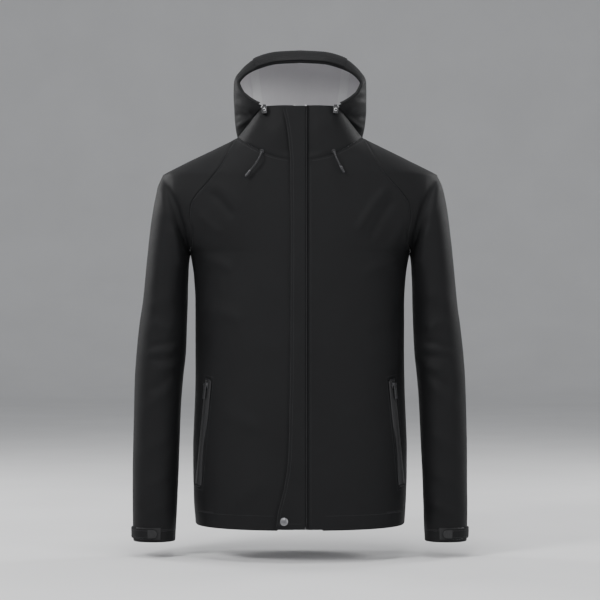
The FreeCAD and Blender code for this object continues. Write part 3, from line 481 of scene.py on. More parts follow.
def math_node(nt, op, a, b):
    n = nt.nodes.new("ShaderNodeMath")
    n.operation = op
    for i, x in enumerate((a, b)):
        if isinstance(x, (int, float)):
            n.inputs[i].default_value = x
        else:
            nt.links.new(x, n.inputs[i])
    return n.outputs[0]


def wave(nt, vec, scale, direction, dist=0.0):
    n = nt.nodes.new("ShaderNodeTexWave")
    n.wave_type = "BANDS"
    n.bands_direction = direction
    n.inputs["Scale"].default_value = scale
    n.inputs["Distortion"].default_value = dist
    nt.links.new(vec, n.inputs["Vector"])
    return n.outputs["Fac"]


def bump(nt, b, height, strength, distance):
    n = nt.nodes.new("ShaderNodeBump")
    n.inputs["Strength"].default_value = strength
    n.inputs["Distance"].default_value = distance
    nt.links.new(height, n.inputs["Height"])
    nt.links.new(n.outputs[0], b.inputs["Normal"])


def fabric(name, dark, light, rough=(0.52, 0.72), weave=520.0, weave_strength=0.35, sheen=0.12, mottle=14.0,
           spec=0.42, diag=False):
    m, nt, b = nt_new(name)
    vec = coords(nt)
    big = tex_noise(nt, vec, mottle, 4.0, 0.6)
    fine = tex_noise(nt, vec, 900.0, 2.0, 0.6)
    f = math_node(nt, "ADD", math_node(nt, "MULTIPLY", big, 0.65), math_node(nt, "MULTIPLY", fine, 0.35))
    nt.links.new(ramp(nt, f, [(0.32, dark), (0.68, light)]), b.inputs["Base Color"])
    r = nt.nodes.new("ShaderNodeMapRange")
    r.inputs["From Min"].default_value, r.inputs["From Max"].default_value = 0.3, 0.7
    r.inputs["To Min"].default_value, r.inputs["To Max"].default_value = rough
    nt.links.new(f, r.inputs[0])
    nt.links.new(r.outputs[0], b.inputs["Roughness"])
    w1 = wave(nt, vec, weave, "X")
    w2 = wave(nt, vec, weave, "Z")
    w3 = wave(nt, vec, weave, "Y")
    h = math_node(nt, "ADD", math_node(nt, "ADD", w1, w2), math_node(nt, "MULTIPLY", w3, 0.6))
    h = math_node(nt, "ADD", h, math_node(nt, "MULTIPLY", fine, 0.8))
    bump(nt, b, h, weave_strength, 0.00012)
    b.inputs["Sheen Weight"].default_value = sheen
    b.inputs["Sheen Roughness"].default_value = 0.45
    b.inputs["Specular IOR Level"].default_value = spec
    return m


def hard(name, dark, light, rough=(0.25, 0.4), metal=0.0, coat=0.0, scale=160.0, brushed=False, spec=0.5):
    m, nt, b = nt_new(name)
    vec = coords(nt, (1, 1, 9) if brushed else (1, 1, 1))
    f = tex_noise(nt, vec, scale, 4.0, 0.6)
    nt.links.new(ramp(nt, f, [(0.3, dark), (0.7, light)]), b.inputs["Base Color"])
    r = nt.nodes.new("ShaderNodeMapRange")
    r.inputs["From Min"].default_value, r.inputs["From Max"].default_value = 0.3, 0.7
    r.inputs["To Min"].default_value, r.inputs["To Max"].default_value = rough
    nt.links.new(f, r.inputs[0])
    nt.links.new(r.outputs[0], b.inputs["Roughness"])
    bump(nt, b, tex_noise(nt, vec, scale * 6, 2.0, 0.5), 0.12, 0.0001)
    b.inputs["Metallic"].default_value = metal
    b.inputs["Coat Weight"].default_value = coat
    b.inputs["Specular IOR Level"].default_value = spec
    return m


M_SHELL = fabric("shell_laminate", (0.0052, 0.0053, 0.0058), (0.0088, 0.0089, 0.0096), sheen=0.014, spec=0.17)
M_LINING = fabric("membrane_lining", (0.74, 0.73, 0.75), (0.83, 0.82, 0.84), rough=(0.6, 0.8), weave=420.0,
                  weave_strength=0.25, sheen=0.2, mottle=9.0)
M_EDGE = fabric("panel_edge", (0.006, 0.006, 0.007), (0.010, 0.010, 0.011), sheen=0.014, spec=0.2)
M_TAPE = fabric("seam_tape", (0.80, 0.80, 0.81), (0.88, 0.88, 0.89), rough=(0.35, 0.5), weave=700.0, weave_strength=0.12,
                sheen=0.05)
M_ZTAPE = fabric("zip_tape", (0.009, 0.009, 0.010), (0.015, 0.015, 0.016), rough=(0.35, 0.5), weave=900.0,
                 weave_strength=0.2)
M_THREAD = fabric("stitch_thread", (0.016, 0.016, 0.018), (0.030, 0.030, 0.033), rough=(0.45, 0.6), weave=2400.0,
                  sheen=0.12)
M_TRICOT = fabric("soft_tricot", (0.030, 0.030, 0.033), (0.045, 0.045, 0.050), rough=(0.75, 0.9), weave=380.0, sheen=0.35)
M_MESHBAG = fabric("pocket_mesh", (0.028, 0.028, 0.030), (0.040, 0.040, 0.044), rough=(0.7, 0.9), weave=260.0,
                   weave_strength=0.7)
M_PILE = fabric("loop_pile", (0.008, 0.008, 0.009), (0.016, 0.016, 0.017), rough=(0.85, 0.98), weave=1500.0,
                weave_strength=0.8, sheen=0.5)
M_WEB = fabric("loop_webbing", (0.012, 0.012, 0.013), (0.022, 0.022, 0.024), weave=900.0, weave_strength=0.6, sheen=0.06)
M_CORD = fabric("braided_cord", (0.012, 0.012, 0.013), (0.030, 0.030, 0.033), rough=(0.5, 0.7), weave=1300.0,
                weave_strength=0.9, sheen=0.15)
M_TEETH = hard("moulded_teeth", (0.012, 0.012, 0.013), (0.020, 0.020, 0.022), rough=(0.3, 0.42))
M_METAL = hard("satin_steel", (0.50, 0.50, 0.51), (0.66, 0.66, 0.67), rough=(0.24, 0.38), metal=1.0, brushed=True)
M_GUN = hard("dark_metal", (0.10, 0.10, 0.11), (0.17, 0.17, 0.18), rough=(0.25, 0.36), metal=1.0)
M_GUNL = hard("worn_gunmetal", (0.20, 0.20, 0.21), (0.30, 0.30, 0.31), rough=(0.26, 0.38), metal=1.0, brushed=True)
M_TRIM = hard("trim_plastic", (0.016, 0.016, 0.018), (0.028, 0.028, 0.031), rough=(0.26, 0.38), coat=0.12)
M_PULL = hard("moulded_pull", (0.020, 0.020, 0.022), (0.036, 0.036, 0.039), rough=(0.38, 0.5))
M_PATCH = hard("tab_tip", (0.010, 0.010, 0.011), (0.017, 0.017, 0.018), rough=(0.34, 0.46), coat=0.1, spec=0.35)

# ------------------------------------------------------------------ panel grids by side
def moved(name):
    """fine grid of a panel, mirrored in x for the right side"""
    base = {"front": "front", "back": "back", "shoulder": "shoulder", "sleeve": "sleeve"}[name.rstrip("LR")]
    g = G[base] * (np.array([-1.0, 1, 1]) if name.endswith("R") else 1.0)
    return g


# ------------------------------------------------------------------ surface relief, from the place alone
def sstep(x):
    x = np.clip(x, 0, 1)
    return x * x * (3 - 2 * x)


PK_A, PK_B = np.array([170.0, -470.0]), np.array([188.0, -652.0])

FOLDS = [
    # chest drag lines towards the armholes
    ((-176, -96), (-108, -150), 9.0, 2.4, "f", 5), ((-168, -112), (-122, -166), 7.0, -2.2, "f", 4),
    ((-190, -150), (-140, -196), 9.0, 2.0, "f", -4), ((172, -98), (100, -200), 8.0, 2.8, "f", -6),
    ((182, -118), (126, -212), 8.0, -2.6, "f", -5), ((194, -160), (150, -236), 9.0, 2.2, "f", 4),
    ((-170, -98), (-109, -146), 6.0, -1.6, "f", 2),
    ((-196, -236), (-120, -262), 10.0, 2.4, "f", 6), ((196, -240), (110, -272), 10.0, 2.2, "f", -6),
    ((-186, -330), (-100, -356), 14.0, 1.7, "f", 5), ((186, -350), (112, -372), 14.0, 1.6, "f", -5),
    ((-60, -640), (-150, -700), 16.0, 1.4, "f", 4), ((60, -650), (148, -704), 15.0, 1.3, "f", -4),
    ((-150, -520), (-70, -560), 16.0, 1.3, "f", 5), ((150, -500), (70, -548), 16.0, 1.2, "f", -5),
    # back
    ((-180, -110), (-100, -170), 11.0, 2.6, "b", 5), ((180, -112), (104, -176), 11.0, 2.6, "b", -5),
    ((-190, -230), (-90, -262), 12.0, 2.4, "b", 6), ((190, -236), (92, -270), 12.0, 2.2, "b", -6),
    ((-170, -430), (-50, -452), 16.0, 1.9, "b", 8), ((170, -440), (60, -460), 16.0, 1.9, "b", -8),
    ((-160, -520), (-40, -500), 18.0, 1.6, "b", 8), ((150, -560), (30, -540), 18.0, 1.6, "b", -8)]
for sx in (-1, 1):
    FOLDS += [
        # where the sleeve head meets the chest
        ((sx * 256, -78), (sx * 222, -160), 5.5, -3.2, "f", 0), ((sx * 230, -140), (sx * 207, -222), 5.0, -4.2, "f", 0),
        ((sx * 266, -88), (sx * 234, -176), 9.0, 2.2, "f", 0), ((sx * 240, -170), (sx * 220, -262), 8.0, 2.4, "f", 0),
        ((sx * 256, -84), (sx * 226, -160), 6.0, -2.4, "b", 0), ((sx * 232, -146), (sx * 208, -222), 5.5, -3.2, "b", 0),
        # elbow
        ((sx * 222, -392), (sx * 286, -404), 5.5, -2.6, "f", sx * 3), ((sx * 224, -404), (sx * 290, -414), 6.0, 2.4, "f", 2),
        ((sx * 222, -420), (sx * 282, -424), 5.5, -2.6, "f", 2), ((sx * 226, -436), (sx * 270, -446), 7.0, 2.0, "f", 0),
        ((sx * 232, -372), (sx * 280, -352), 9.0, 1.8, "f", 3), ((sx * 236, -452), (sx * 286, -486), 8.0, -1.7, "f", 3),
        ((sx * 236, -470), (sx * 296, -520), 10.0, 1.6, "f", 3),
        ((sx * 306, -398), (sx * 262, -412), 7.0, 2.0, "b", 0), ((sx * 306, -430), (sx * 258, -444), 7.0, -1.9, "b", 0),
        ((sx * 238, -560), (sx * 300, -604), 12.0, 1.5, "f", 3), ((sx * 240, -636), (sx * 296, -664), 10.0, 1.4, "f", 2),
        ((sx * 240, -694), (sx * 300, -716), 8.0, 1.3, "f", 1), ((sx * 232, -300), (sx * 286, -330), 14.0, 1.6, "f", 4)]


def keep(P):
    """1 on free cloth, 0 where a fitting or a seam to a firm part holds the fabric"""
    x, y, z = np.abs(P[..., 0]), P[..., 1], P[..., 2]
    w = np.where((y < 0) & (z < -30), sstep((x - 16) / 42), 1.0)
    w = w * np.where((x > 205) & (z < -600), sstep((z + 764) / 60), 1.0)
    d = PK_B - PK_A
    q = np.stack([x, z], -1) - PK_A
    t = np.clip((q @ d) / (d @ d), -0.05, 1.05)
    dist = np.linalg.norm(q - t[..., None] * d, axis=-1)
    w = w * np.where((y < 12) & (x < 205), sstep((dist - 11) / 32), 1.0)
    # the relief fades out towards the neckline
    zn = np.where(y < 0, Z_CF_NECK + 47.0 * (x / X_NECK) ** 2.2, 5.0 - 13.0 * (x / X_NECK) ** 2)
    dn = np.where(x < X_NECK, zn - z, np.hypot(x - X_NECK, z + 8))
    w = w * sstep(dn / 26)
    w = w * np.where(x < 205, 0.35 + 0.65 * sstep((z + 736) / 34), 1.0)
    return w


def relief(P):
    r = 0.95 * noise(P, 95.0, 1, (1, 1, 1.6)) + 0.4 * noise(P, 38.0, 2, (1, 1, 1.5)) + 0.12 * noise(P, 11.0, 3)
    for a, b, w, amp, face, c in FOLDS:
        m = (P[..., 0] * (a[0] + b[0])) > 0
        r = r + np.where(m, fold(P, a, b, w, amp, face, c), 0)
    return r * keep(P)


def seam_prof(d):
    return -0.95 * np.exp(-(d / 1.7) ** 2) + 0.5 * np.exp(-((d - 6.0) / 3.6) ** 2)


def refine(g, side):
    f = (0.2, 0.42, 0.7)
    if side == "hi":
        a, b = g[:, -1], g[:, -2]
        ins = [(a + (b - a) * x)[:, None] for x in f[::-1]]
        return np.concatenate([g[:, :-1]] + ins + [g[:, -1:]], 1)
    a, b = g[:, 0], g[:, 1]
    ins = [(a + (b - a) * x)[:, None] for x in f]
    return np.concatenate([g[:, :1]] + ins + [g[:, 1:]], 1)


def edge_dist(g, side):
    d = np.linalg.norm(np.diff(g, axis=1), axis=-1)
    c = np.concatenate([np.zeros((g.shape[0], 1)), np.cumsum(d, 1)], 1)
    return c if side == "lo" else c[:, -1:] - c


def at_dist(g, N, side, d):
    """points and normals a distance d in from a side border, one for each row"""
    c = edge_dist(g, side)
    P, M = [], []
    for k in range(g.shape[0]):
        o = np.argsort(c[k])
        P.append([np.interp(d, c[k][o], g[k, o, a]) for a in range(3)])
        M.append([np.interp(d, c[k][o], N[k, o, a]) for a in range(3)])
    M = np.array(M)
    return np.array(P), M / np.maximum(np.linalg.norm(M, axis=1, keepdims=True), 1e-9)


def at_row(g, N, f):
    i = int(math.floor(f))
    j = min(i + 1, g.shape[0] - 1)
    t = f - i
    return g[i] * (1 - t) + g[j] * t, N[i] * (1 - t) + N[j] * t


def put(name, g, ref, mats, body=None, closed=False, t=FAB, nodes=(), blend=None):
    P, F, inv = weld(g.reshape(-1, 3), quads(g.shape[0], g.shape[1], closed))
    F = flip_to(P, F, ref)
    o, _ = thick(name, P, F, t, mats)
    if nodes:
        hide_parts(*nodes)
    if blend:
        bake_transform(o)
    else:
        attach(o, body)
    return o


def sewn(name, paths, body=None, blend=None, mat=None, pitch=3.4, length=2.4, r=0.26, lift=0.12):
    """A row of separate stitches along each path of (points, normals)."""
    V, F = [], []
    for Q, M in paths:
        seg = np.linalg.norm(np.diff(Q, axis=0), axis=1)
        s = np.concatenate([[0], np.cumsum(seg)])
        if s[-1] < pitch:
            continue
        okk = np.concatenate([[True], seg > 1e-6])
        Q, M, s = Q[okk], M[okk], s[okk]
        n = int(s[-1] // pitch)
        c = (np.arange(n) + 0.5) * s[-1] / n
        f3 = lambda a, x: np.stack([np.interp(x, s, a[:, k]) for k in range(3)], -1)
        A, B, N = f3(Q, c - length / 2), f3(Q, c + length / 2), f3(M, c)
        N /= np.maximum(np.linalg.norm(N, axis=1, keepdims=True), 1e-9)
        T = B - A
        T /= np.maximum(np.linalg.norm(T, axis=1, keepdims=True), 1e-9)
        S = np.cross(T, N)
        base = len(V)
        rings = [(0.0, 0.35, -0.1), (0.22, 1.0, 0.0), (0.78, 1.0, 0.0), (1.0, 0.35, -0.1)]
        blk = []
        for q, k, dz in rings:
            cen = A + (B - A) * q + N * (lift + dz)
            for u, v in ((1, 0), (0.3, 0.95), (-0.9, 0.6), (-0.9, -0.6), (0.3, -0.95)):
                blk.append(cen + S * (v * r * k) + N * (u * r * k))
        blk = np.stack(blk, 1).reshape(-1, 3)
        V.extend(blk.tolist())
        for a in range(n):
            o = base + a * 20
            for h in range(3):
                for k in range(5):
                    m = (k + 1) % 5
                    F.append((o + h * 5 + k, o + h * 5 + m, o + h * 5 + 5 + m, o + h * 5 + 5 + k))
            F.append((o + 4, o + 3, o + 2, o + 1, o))
            F.append((o + 15, o + 16, o + 17, o + 18, o + 19))
    o = make(name, np.array(V), F, [mat or M_THREAD])
    if blend:
        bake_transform(o)
    else:
        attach(o, body)
    return o


def tube(name, Q, r, mat, body=None, blend=None, nodes=(), n=10, tw=0.0, lobes=0, depth=0.0):
    T = np.gradient(Q, axis=0)
    T /= np.linalg.norm(T, axis=1, keepdims=True)
    up = np.array([0.13, 0.21, 0.97])
    V = []
    for p, t in zip(Q, T):
        u = np.cross(up, t)
        u /= np.linalg.norm(u)
        w = np.cross(t, u)
        up = w
        for k in range(n):
            a = 2 * math.pi * k / n
            V.append(p + r * (math.cos(a) * u + math.sin(a) * w))
    V = np.array(V)
    F = [tuple(f) for f in quads(len(Q), n, True).tolist()]
    F.append(tuple(range(n)))
    F.append(tuple(range(len(V) - 1, len(V) - 1 - n, -1)))
    c = Q[len(Q) // 2]
    o = make(name, V, F, [mat])
    if nodes:
        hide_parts(*nodes)
    if blend:
        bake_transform(o)
    else:
        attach(o, body)
    return o


def boxes(items):
    """items: (centre, (axis w, axis d, axis n), (half w, half d, half n), bevel) -> bevelled blocks, all in one mesh"""
    V, F = [], []
    for c, (aw, ad, an), (hw, hd, hn), bv in items:
        o = len(V)
        c, aw, ad, an = map(lambda q: np.asarray(q, float), (c, aw, ad, an))
        for sn in (-1, 1):
            for k, (hx, hy) in enumerate(((hw, hd), (hw - bv, hd - bv))):
                zz = sn * (hn - bv if k == 0 else hn)
                for sx_, sy_ in ((-1, -1), (1, -1), (1, 1), (-1, 1)):
                    V.append(c + aw * sx_ * hx + ad * sy_ * hy + an * zz)
        lo, lot, hi, hit = o, o + 4, o + 8, o + 12
        for k in range(4):
            m = (k + 1) % 4
            F.append((lo + k, lo + m, hi + m, hi + k))
            F.append((lot + k, lot + m, lo + m, lo + k))
            F.append((hi + k, hi + m, hit + m, hit + k))
        F.append((lot + 3, lot + 2, lot + 1, lot))
        F.append((hit, hit + 1, hit + 2, hit + 3))
    return np.array(V), F


def hardpiece(name, items, mat, body, nodes=(), smooth=False):
    V, F = boxes(items)
    o = make(name, V, F, [mat], None, smooth)
    if nodes:
        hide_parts(*nodes)
    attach(o, body)
    return o


SHELL_MATS = (M_SHELL, M_LINING, M_EDGE)
DARK_MATS = (M_SHELL, M_SHELL, M_EDGE)
mirv = np.array([-1.0, 1, 1])
ref_axis = lambda P: P * np.array([0.35, 0.0, 1.0])
FIN = {}

# ------------------------------------------------------------------ torso panels
for side, m in (("left", 1), ("right", -1)):
    L = "L" if m > 0 else "R"
    g = refine(moved("front" + L), "hi")
    N = outward(grid_normals(g), g, g * np.array([0.35, 0, 1]))
    g = g + N * (relief(g) + seam_prof(edge_dist(g, "hi")) * sstep((205 - 0 * g[..., 2]) / 1))[..., None]
    FIN["front" + L] = (g, outward(grid_normals(g), g, g * np.array([0.35, 0, 1])))
    put("front_" + side, g, ref_axis, SHELL_MATS, "shell", nodes=["front_panel_" + side])
g = refine(refine(moved("back"), "hi"), "lo")
YK = NL + 32                        # row of the yoke seam
lo_, hi_ = [], []
for f in (0.14, 0.3, 0.5):
    lo_.append((g[YK] + (g[YK - 1] - g[YK]) * f)[None])
    hi_.append((g[YK] + (g[YK + 1] - g[YK]) * f)[None])
g = np.concatenate([g[:YK]] + lo_[::-1] + [g[YK:YK + 1]] + hi_ + [g[YK + 1:]], 0)
YK += 3
N = outward(grid_normals(g), g, g * np.array([0.35, 0, 1]))
dy = np.linalg.norm(g - g[YK:YK + 1], axis=-1)
g = g + N * (relief(g) + seam_prof(edge_dist(g, "hi")) + seam_prof(edge_dist(g, "lo")) + seam_prof(dy) * (dy < 40))[..., None]
FIN["back"] = (g, outward(grid_normals(g), g, g * np.array([0.35, 0, 1])))
put("back_body", g[:YK + 1], ref_axis, SHELL_MATS, "shell", nodes=["back_panel"])
put("back_yoke_cloth", g[YK:], ref_axis, SHELL_MATS, "shell", nodes=["back_yoke"])

# ------------------------------------------------------------------ collar
for side, m in (("left", 1), ("right", -1)):
    gc = G["collar"] * (mirv if m < 0 else 1)
    N = outward(grid_normals(gc), gc, gc * np.array([0, 0, 1]))
    v = np.linspace(0, 1, gc.shape[0])[:, None]
    u = np.linspace(0, 1, gc.shape[1])[None, :]
    h = -0.7 * np.exp(-(v / 0.02) ** 2) + 0.35 * np.exp(-((v - 0.07) / 0.05) ** 2)
    h = h + (noise(gc, 34.0, 21 + m) * 0.9 + noise(gc, 15.0, 23) * 0.25) * sstep(v / 0.2) * sstep((1 - v) / 0.15) * sstep((u - 0.12) / 0.3) * sstep((1 - u) / 0.15)
    h = h - 2.2 * (1 - sstep((u - 0.08) / 0.30)) * sstep(v / 0.15)
    gc = gc + N * h[..., None]
    FIN["collar" + side] = (gc, N)
    put("stand_collar_" + side, gc, lambda P: P * np.array([0, 0, 1]), SHELL_MATS, "shell", nodes=["collar_" + side])

# ------------------------------------------------------------------ raglan sleeves
for side, m in (("left", 1), ("right", -1)):
    L = "L" if m > 0 else "R"
    sh = np.swapaxes(moved("shoulder" + L), 0, 1)[:-1, :NRING]
    fr = (0.07, 0.15, 0.27, 0.45, 0.7)
    ins = [(sh[0] + (sh[1] - sh[0]) * x)[None] for x in fr]
    rings = np.concatenate([sh[:1]] + ins + [sh[1:], moved("sleeve" + L)], 0)
    P, F, inv = weld(rings.reshape(-1, 3), quads(rings.shape[0], rings.shape[1], True))

    def sref(P, m=m):
        q = P.copy()
        a = np.abs(P[:, 0]) > arm_x(np.clip(P[:, 2], Z_PIT, Z_TIP))
        q[:, 0] = np.where(a, m * 264.0, P[:, 0] * 0.4)
        q[:, 1] = -8.0
        q[:, 2] = np.where(a, np.minimum(P[:, 2], -200), np.minimum(P[:, 2], -120))
        return q
    F = flip_to(P, F, sref)
    N = vnormals(P, F)
    dd = np.concatenate([np.zeros((1, NRING)), np.cumsum(np.linalg.norm(np.diff(rings, axis=0), axis=-1), 0)])
    ds = np.zeros(len(P))
    ds[inv] = dd.reshape(-1)
    P = P + N * (relief(P) + seam_prof(ds) * (ds < 60))[:, None]
    N = vnormals(P, F)
    FIN["arm" + L] = (P[inv].reshape(rings.shape), N[inv].reshape(rings.shape))
    cut = -335.0
    zc_ = P[:, 2]
    top = [f for f in F if np.mean(zc_[list(f)]) > cut]
    low = [f for f in F if np.mean(zc_[list(f)]) <= cut]
    for nm, fs, nodes, bl in (
            ("raglan_sleeve_" + side, top, ["shoulder_" + side, "upper_sleeve_" + side],
             ("shell", "sleeve_" + side, row((m * 207, 0, -225)), row((m * (207 + 0.942 * 30), 0, -225 - 0.333 * 30)))),
            ("lower_sleeve_" + side, low, ["forearm_" + side],
             ("sleeve_" + side, "forearm_" + side, row((m * 262, 0, -366)), row((m * 262, 0, -462))))):
        ids = sorted(set(x for f in fs for x in f))
        mp = {x: i for i, x in enumerate(ids)}
        ff = [tuple(mp[x] for x in f) for f in fs]
        o, aN = thick(nm, P[ids], ff, FAB, SHELL_MATS, N[ids])
        o.data.normals_split_custom_set_from_vertices(aN.tolist())
        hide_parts(*nodes)
        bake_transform(o)
    # turned cuff
    A, AN = FIN["arm" + L]
    nr_ = A.shape[0]
    rows_ = []
    for idx, off, dz in ((nr_ - 1, 0.85, 0.0), (nr_ - 1, 1.3, -0.8), (nr_ - 1, 2.1, -0.7), (nr_ - 1, 2.5, 0.5),
                         (nr_ - 2, 2.5, 0), (nr_ - 3, 2.5, 0), (nr_ - 4, 2.4, 0), (nr_ - 5, 1.2, 0.0)):
        p = A[idx] - AN[idx] * off
        p[:, 2] = A[idx][:, 2] + dz
        rows_.append(p)
    put("cuff_turning_" + side, np.array(rows_), lambda P, m=m: np.stack([P[:, 0] * 0 + m * 273.0, P[:, 1] * 0 - 31, P[:, 2]], -1),
        DARK_MATS, "forearm_" + side, closed=True, t=0.8, nodes=["cuff_facing_" + side])
    ps = []
    for f, off in ((nr_ - 5.5, 0), (nr_ - 5.1, 0)):
        q, qn = at_row(A, AN, f)
        ps.append((np.concatenate([q, q[:1]]), np.concatenate([qn, qn[:1]])))
    sewn("cuff_stitching_" + side, ps, "forearm_" + side)

# ------------------------------------------------------------------ topstitching on the body
def topline(side, m):
    L = "L" if m > 0 else "R"
    g, N = FIN["front" + L]
    ps = []
    q, qn = at_dist(g, N, "hi", 2.3)
    ps.append((q[NL:], qn[NL:]))
    q, qn = at_row(g, N, 6.1)
    ps.append((q[6:-3], qn[6:-3]))
    q, qn = at_row(g, N, g.shape[0] - 1.9)
    ps.append((q[4:-3], qn[4:-3]))
    q, qn = at_dist(g, N, "lo", 8.0)
    ps.append((q[2:-3], qn[2:-3]))
    # bartack at the hem drawcord
    for z in (-706.0, -707.2, -708.4):
        x = np.linspace(160, 189, 14)
        k = (z - Z_HEM) / ((Z_PIT - Z_HEM) / NL)
        q, qn = at_row(g, N, k)
        o = np.argsort(np.abs(q[:, 0]))
        xs = np.abs(q[o, 0])
        qq = np.stack([m * x] + [np.interp(x, xs, q[o, a]) for a in (1, 2)], -1)
        qm = np.stack([np.interp(x, xs, qn[o, a]) for a in range(3)], -1)
        ps.append((qq, qm))
    sewn("front_stitching_" + side, ps, "shell")


for side, m in (("left", 1), ("right", -1)):
    topline(side, m)
g, N = FIN["back"]
ps = []
for sd in ("lo", "hi"):
    q, qn = at_dist(g, N, sd, 2.3)
    ps.append((q[NL:], qn[NL:]))
q, qn = at_row(g, N, 6.1)
ps.append((q[3:-3], qn[3:-3]))
q, qn = at_row(g, N, g.shape[0] - 1.9)
ps.append((q[3:-3], qn[3:-3]))
q, qn = at_row(g, N, YK - 2.9)
ps.append((q[3:-3], qn[3:-3]))
sewn("back_stitching", ps, "shell")

# ------------------------------------------------------------------ turned hem with its cord channel
for nm, key, sl, nodes in (("hem_turning_left", "frontL", slice(5, None), ["hem_facing"]), ("hem_turning_right", "frontR", slice(5, None), []),
                           ("hem_turning_back", "back", slice(None), [])):
    g, N = FIN[key]
    rows_ = []
    for idx, off, dz in ((0, 0.85, 0.0), (0, 1.6, -0.9), (0, 3.2, -1.2), (0, 4.6, -0.6), (0, 5.2, 0.8), (1, 5.2, 0), (3, 5.2, 0),
                         (5, 4.8, 0), (6, 1.1, 0)):
        n = N[idx].copy()
        n[:, 2] = 0
        n /= np.linalg.norm(n, axis=1, keepdims=True)
        p = g[idx] - n * off
        p[:, 2] = g[idx][:, 2] + dz
        rows_.append(p[sl])
    put(nm, np.array(rows_), ref_axis, DARK_MATS, "shell", t=0.8, nodes=nodes)
path = []
for key, rev in (("frontL", False), ("back", True), ("frontR", True)):
    g, N = FIN[key]
    n = N[2].copy()
    n[:, 2] = 0
    n /= np.linalg.norm(n, axis=1, keepdims=True)
    q = (g[2] - n * 3.0)
    q = q[::-1] if rev else q
    path.append(q[(10 if key != "back" else 2):-2] if key == "frontL" else (q[3:-3] if key == "back" else q[3:-10]))
tube("hem_elastic_cord", np.concatenate(path), 1.3, M_CORD, "shell", nodes=["hem_drawcord"])
for side, m in (("left", 1), ("right", -1)):
    t1_ = np.array([0.86228 * m, 0.50643, 0])
    hn_ = np.array([0.50643 * m, -0.86228, 0])
    c_ = np.array([125.163 * m, -107.774, -717.0])
    hardpiece("hem_lock_tab_" + side, [(c_ + hn_ * 6.4, (t1_, (0, 0, 1), hn_), (3.2, 4.2, 1.3), 0.4)], M_WEB, "shell", smooth=True)

# ------------------------------------------------------------------ hood
HD = np.array([0.0, 0.185, 0.983])
HS = np.array([0.0, 86.0, 5.0]) + HD * 8
HOOD_BLEND = ("shell", "hood", row(HS), row(HS + HD * 72))
S_SEAM = 0.30
ref_hood = lambda P: np.tile(np.array([0.0, 15.0, 60.0]), (len(P), 1))
HF = []
for sx in (-1, 1):
    HF += [((sx * 128, 96), (sx * 74, 46), 6.0, -1.8, "f", 3), ((sx * 126, 60), (sx * 84, 36), 6.0, 2.2, "f", -2),
           ((sx * 128, 34), (sx * 90, 26), 5.0, -2.2, "f", 2), ((sx * 124, 8), (sx * 92, 22), 5.0, 2.0, "f", 2),
           ((sx * 122, 120), (sx * 112, 62), 8.0, 1.6, "f", 2)]


def hood_lines(s, ts):
    T = np.asarray(ts)
    return hood_pt(np.full_like(T, s), T)


def hood_surface(svals, nt, side=0):
    tv = np.concatenate([[0, 0.006, 0.014, 0.028], np.linspace(0.045, 0.965, nt), [0.978, 0.99, 1.0]])
    S, T = np.meshgrid(svals, tv)
    g = hood_pt(S, T)
    if side < 0:
        g = g * mirv
    N = outward(grid_normals(g), g, np.array([0.0, 15.0, 60.0]))
    k = sstep((T - 0.06) / 0.2) * sstep((1 - T) / 0.08)
    h = (0.9 * noise(g, 60.0, 31) + 0.35 * noise(g, 24.0, 32)) * k
    for a, b, w, amp, face, c in HF:
        mm = (g[..., 0] * (a[0] + b[0])) > 0
        h = h + np.where(mm, fold(g, a, b, w, amp, face, c), 0) * sstep((T - 0.03) / 0.08) * sstep((1 - T) / 0.1)
    scale = 260.0
    dseam = np.abs(S - S_SEAM) * scale
    h = h + seam_prof(dseam) * 0.9
    dop = T * 330.0
    h = h - 0.5 * np.exp(-(dop / 1.5) ** 2) + 0.3 * np.exp(-((dop - 22) / 3.0) ** 2) - 0.35 * np.exp(-((dop - 26) / 2.0) ** 2)
    h = h - 0.6 * np.exp(-((1 - T) * 330.0 / 2.0) ** 2)
    return g + N * h[..., None], N, tv


sv = np.concatenate([np.linspace(0, 0.27, 20), [0.281, 0.289, 0.294, 0.2975, 0.3]])
gh, nh, tv = hood_surface(sv, 58, 1)
gm, nm_, _ = hood_surface(sv, 58, -1)
g = np.concatenate([gm[:, :0:-1], gh], 1)
N = np.concatenate([nm_[:, :0:-1], nh], 1)
FIN["hoodc"] = (g, N)
put("hood_centre", g, ref_hood, SHELL_MATS, None, nodes=["hood_centre_panel"], blend=HOOD_BLEND)
sv2 = np.concatenate([[0.3, 0.3025, 0.306, 0.311, 0.319], np.linspace(0.33, 1.0, 54)])
for side, m in (("left", 1), ("right", -1)):
    g, N, tv = hood_surface(sv2, 58, m)
    FIN["hood" + side] = (g, N)
    put("hood_side_panel_" + side, g, ref_hood, SHELL_MATS, None, nodes=["hood_side_" + side], blend=HOOD_BLEND)

# stitching at the hood's two long seams and along the opening
ps = []
for m in (1, -1):
    ts = np.linspace(0.08, 0.965, 90)
    for s in (0.2915, 0.3085):
        q = hood_lines(s, ts) * (mirv if m < 0 else 1)
        a = hood_pt(np.full_like(ts, s + 0.01), ts) * (mirv if m < 0 else 1)
        d1, d2 = np.gradient(q, axis=0), a - q
        n = np.cross(d1, d2)
        n *= np.sign(np.sum(n * (q - np.array([0, 15, 60.0])), 1))[:, None]
        n /= np.linalg.norm(n, axis=1, keepdims=True)
        k = sstep((ts - 0.06) / 0.2) * sstep((1 - ts) / 0.08)
        h = (0.9 * noise(q, 60.0, 31) + 0.35 * noise(q, 24.0, 32)) * k + 0.05
        ps.append((q + n * h[:, None], n))
for side, m in (("left", 1), ("right", -1)):
    g, N = FIN["hood" + side]
    i = int(np.argmin(np.abs(tv - 0.078)))
    ps.append((g[i, 3:-6], N[i, 3:-6]))
sewn("hood_stitching", ps, None, blend=HOOD_BLEND)

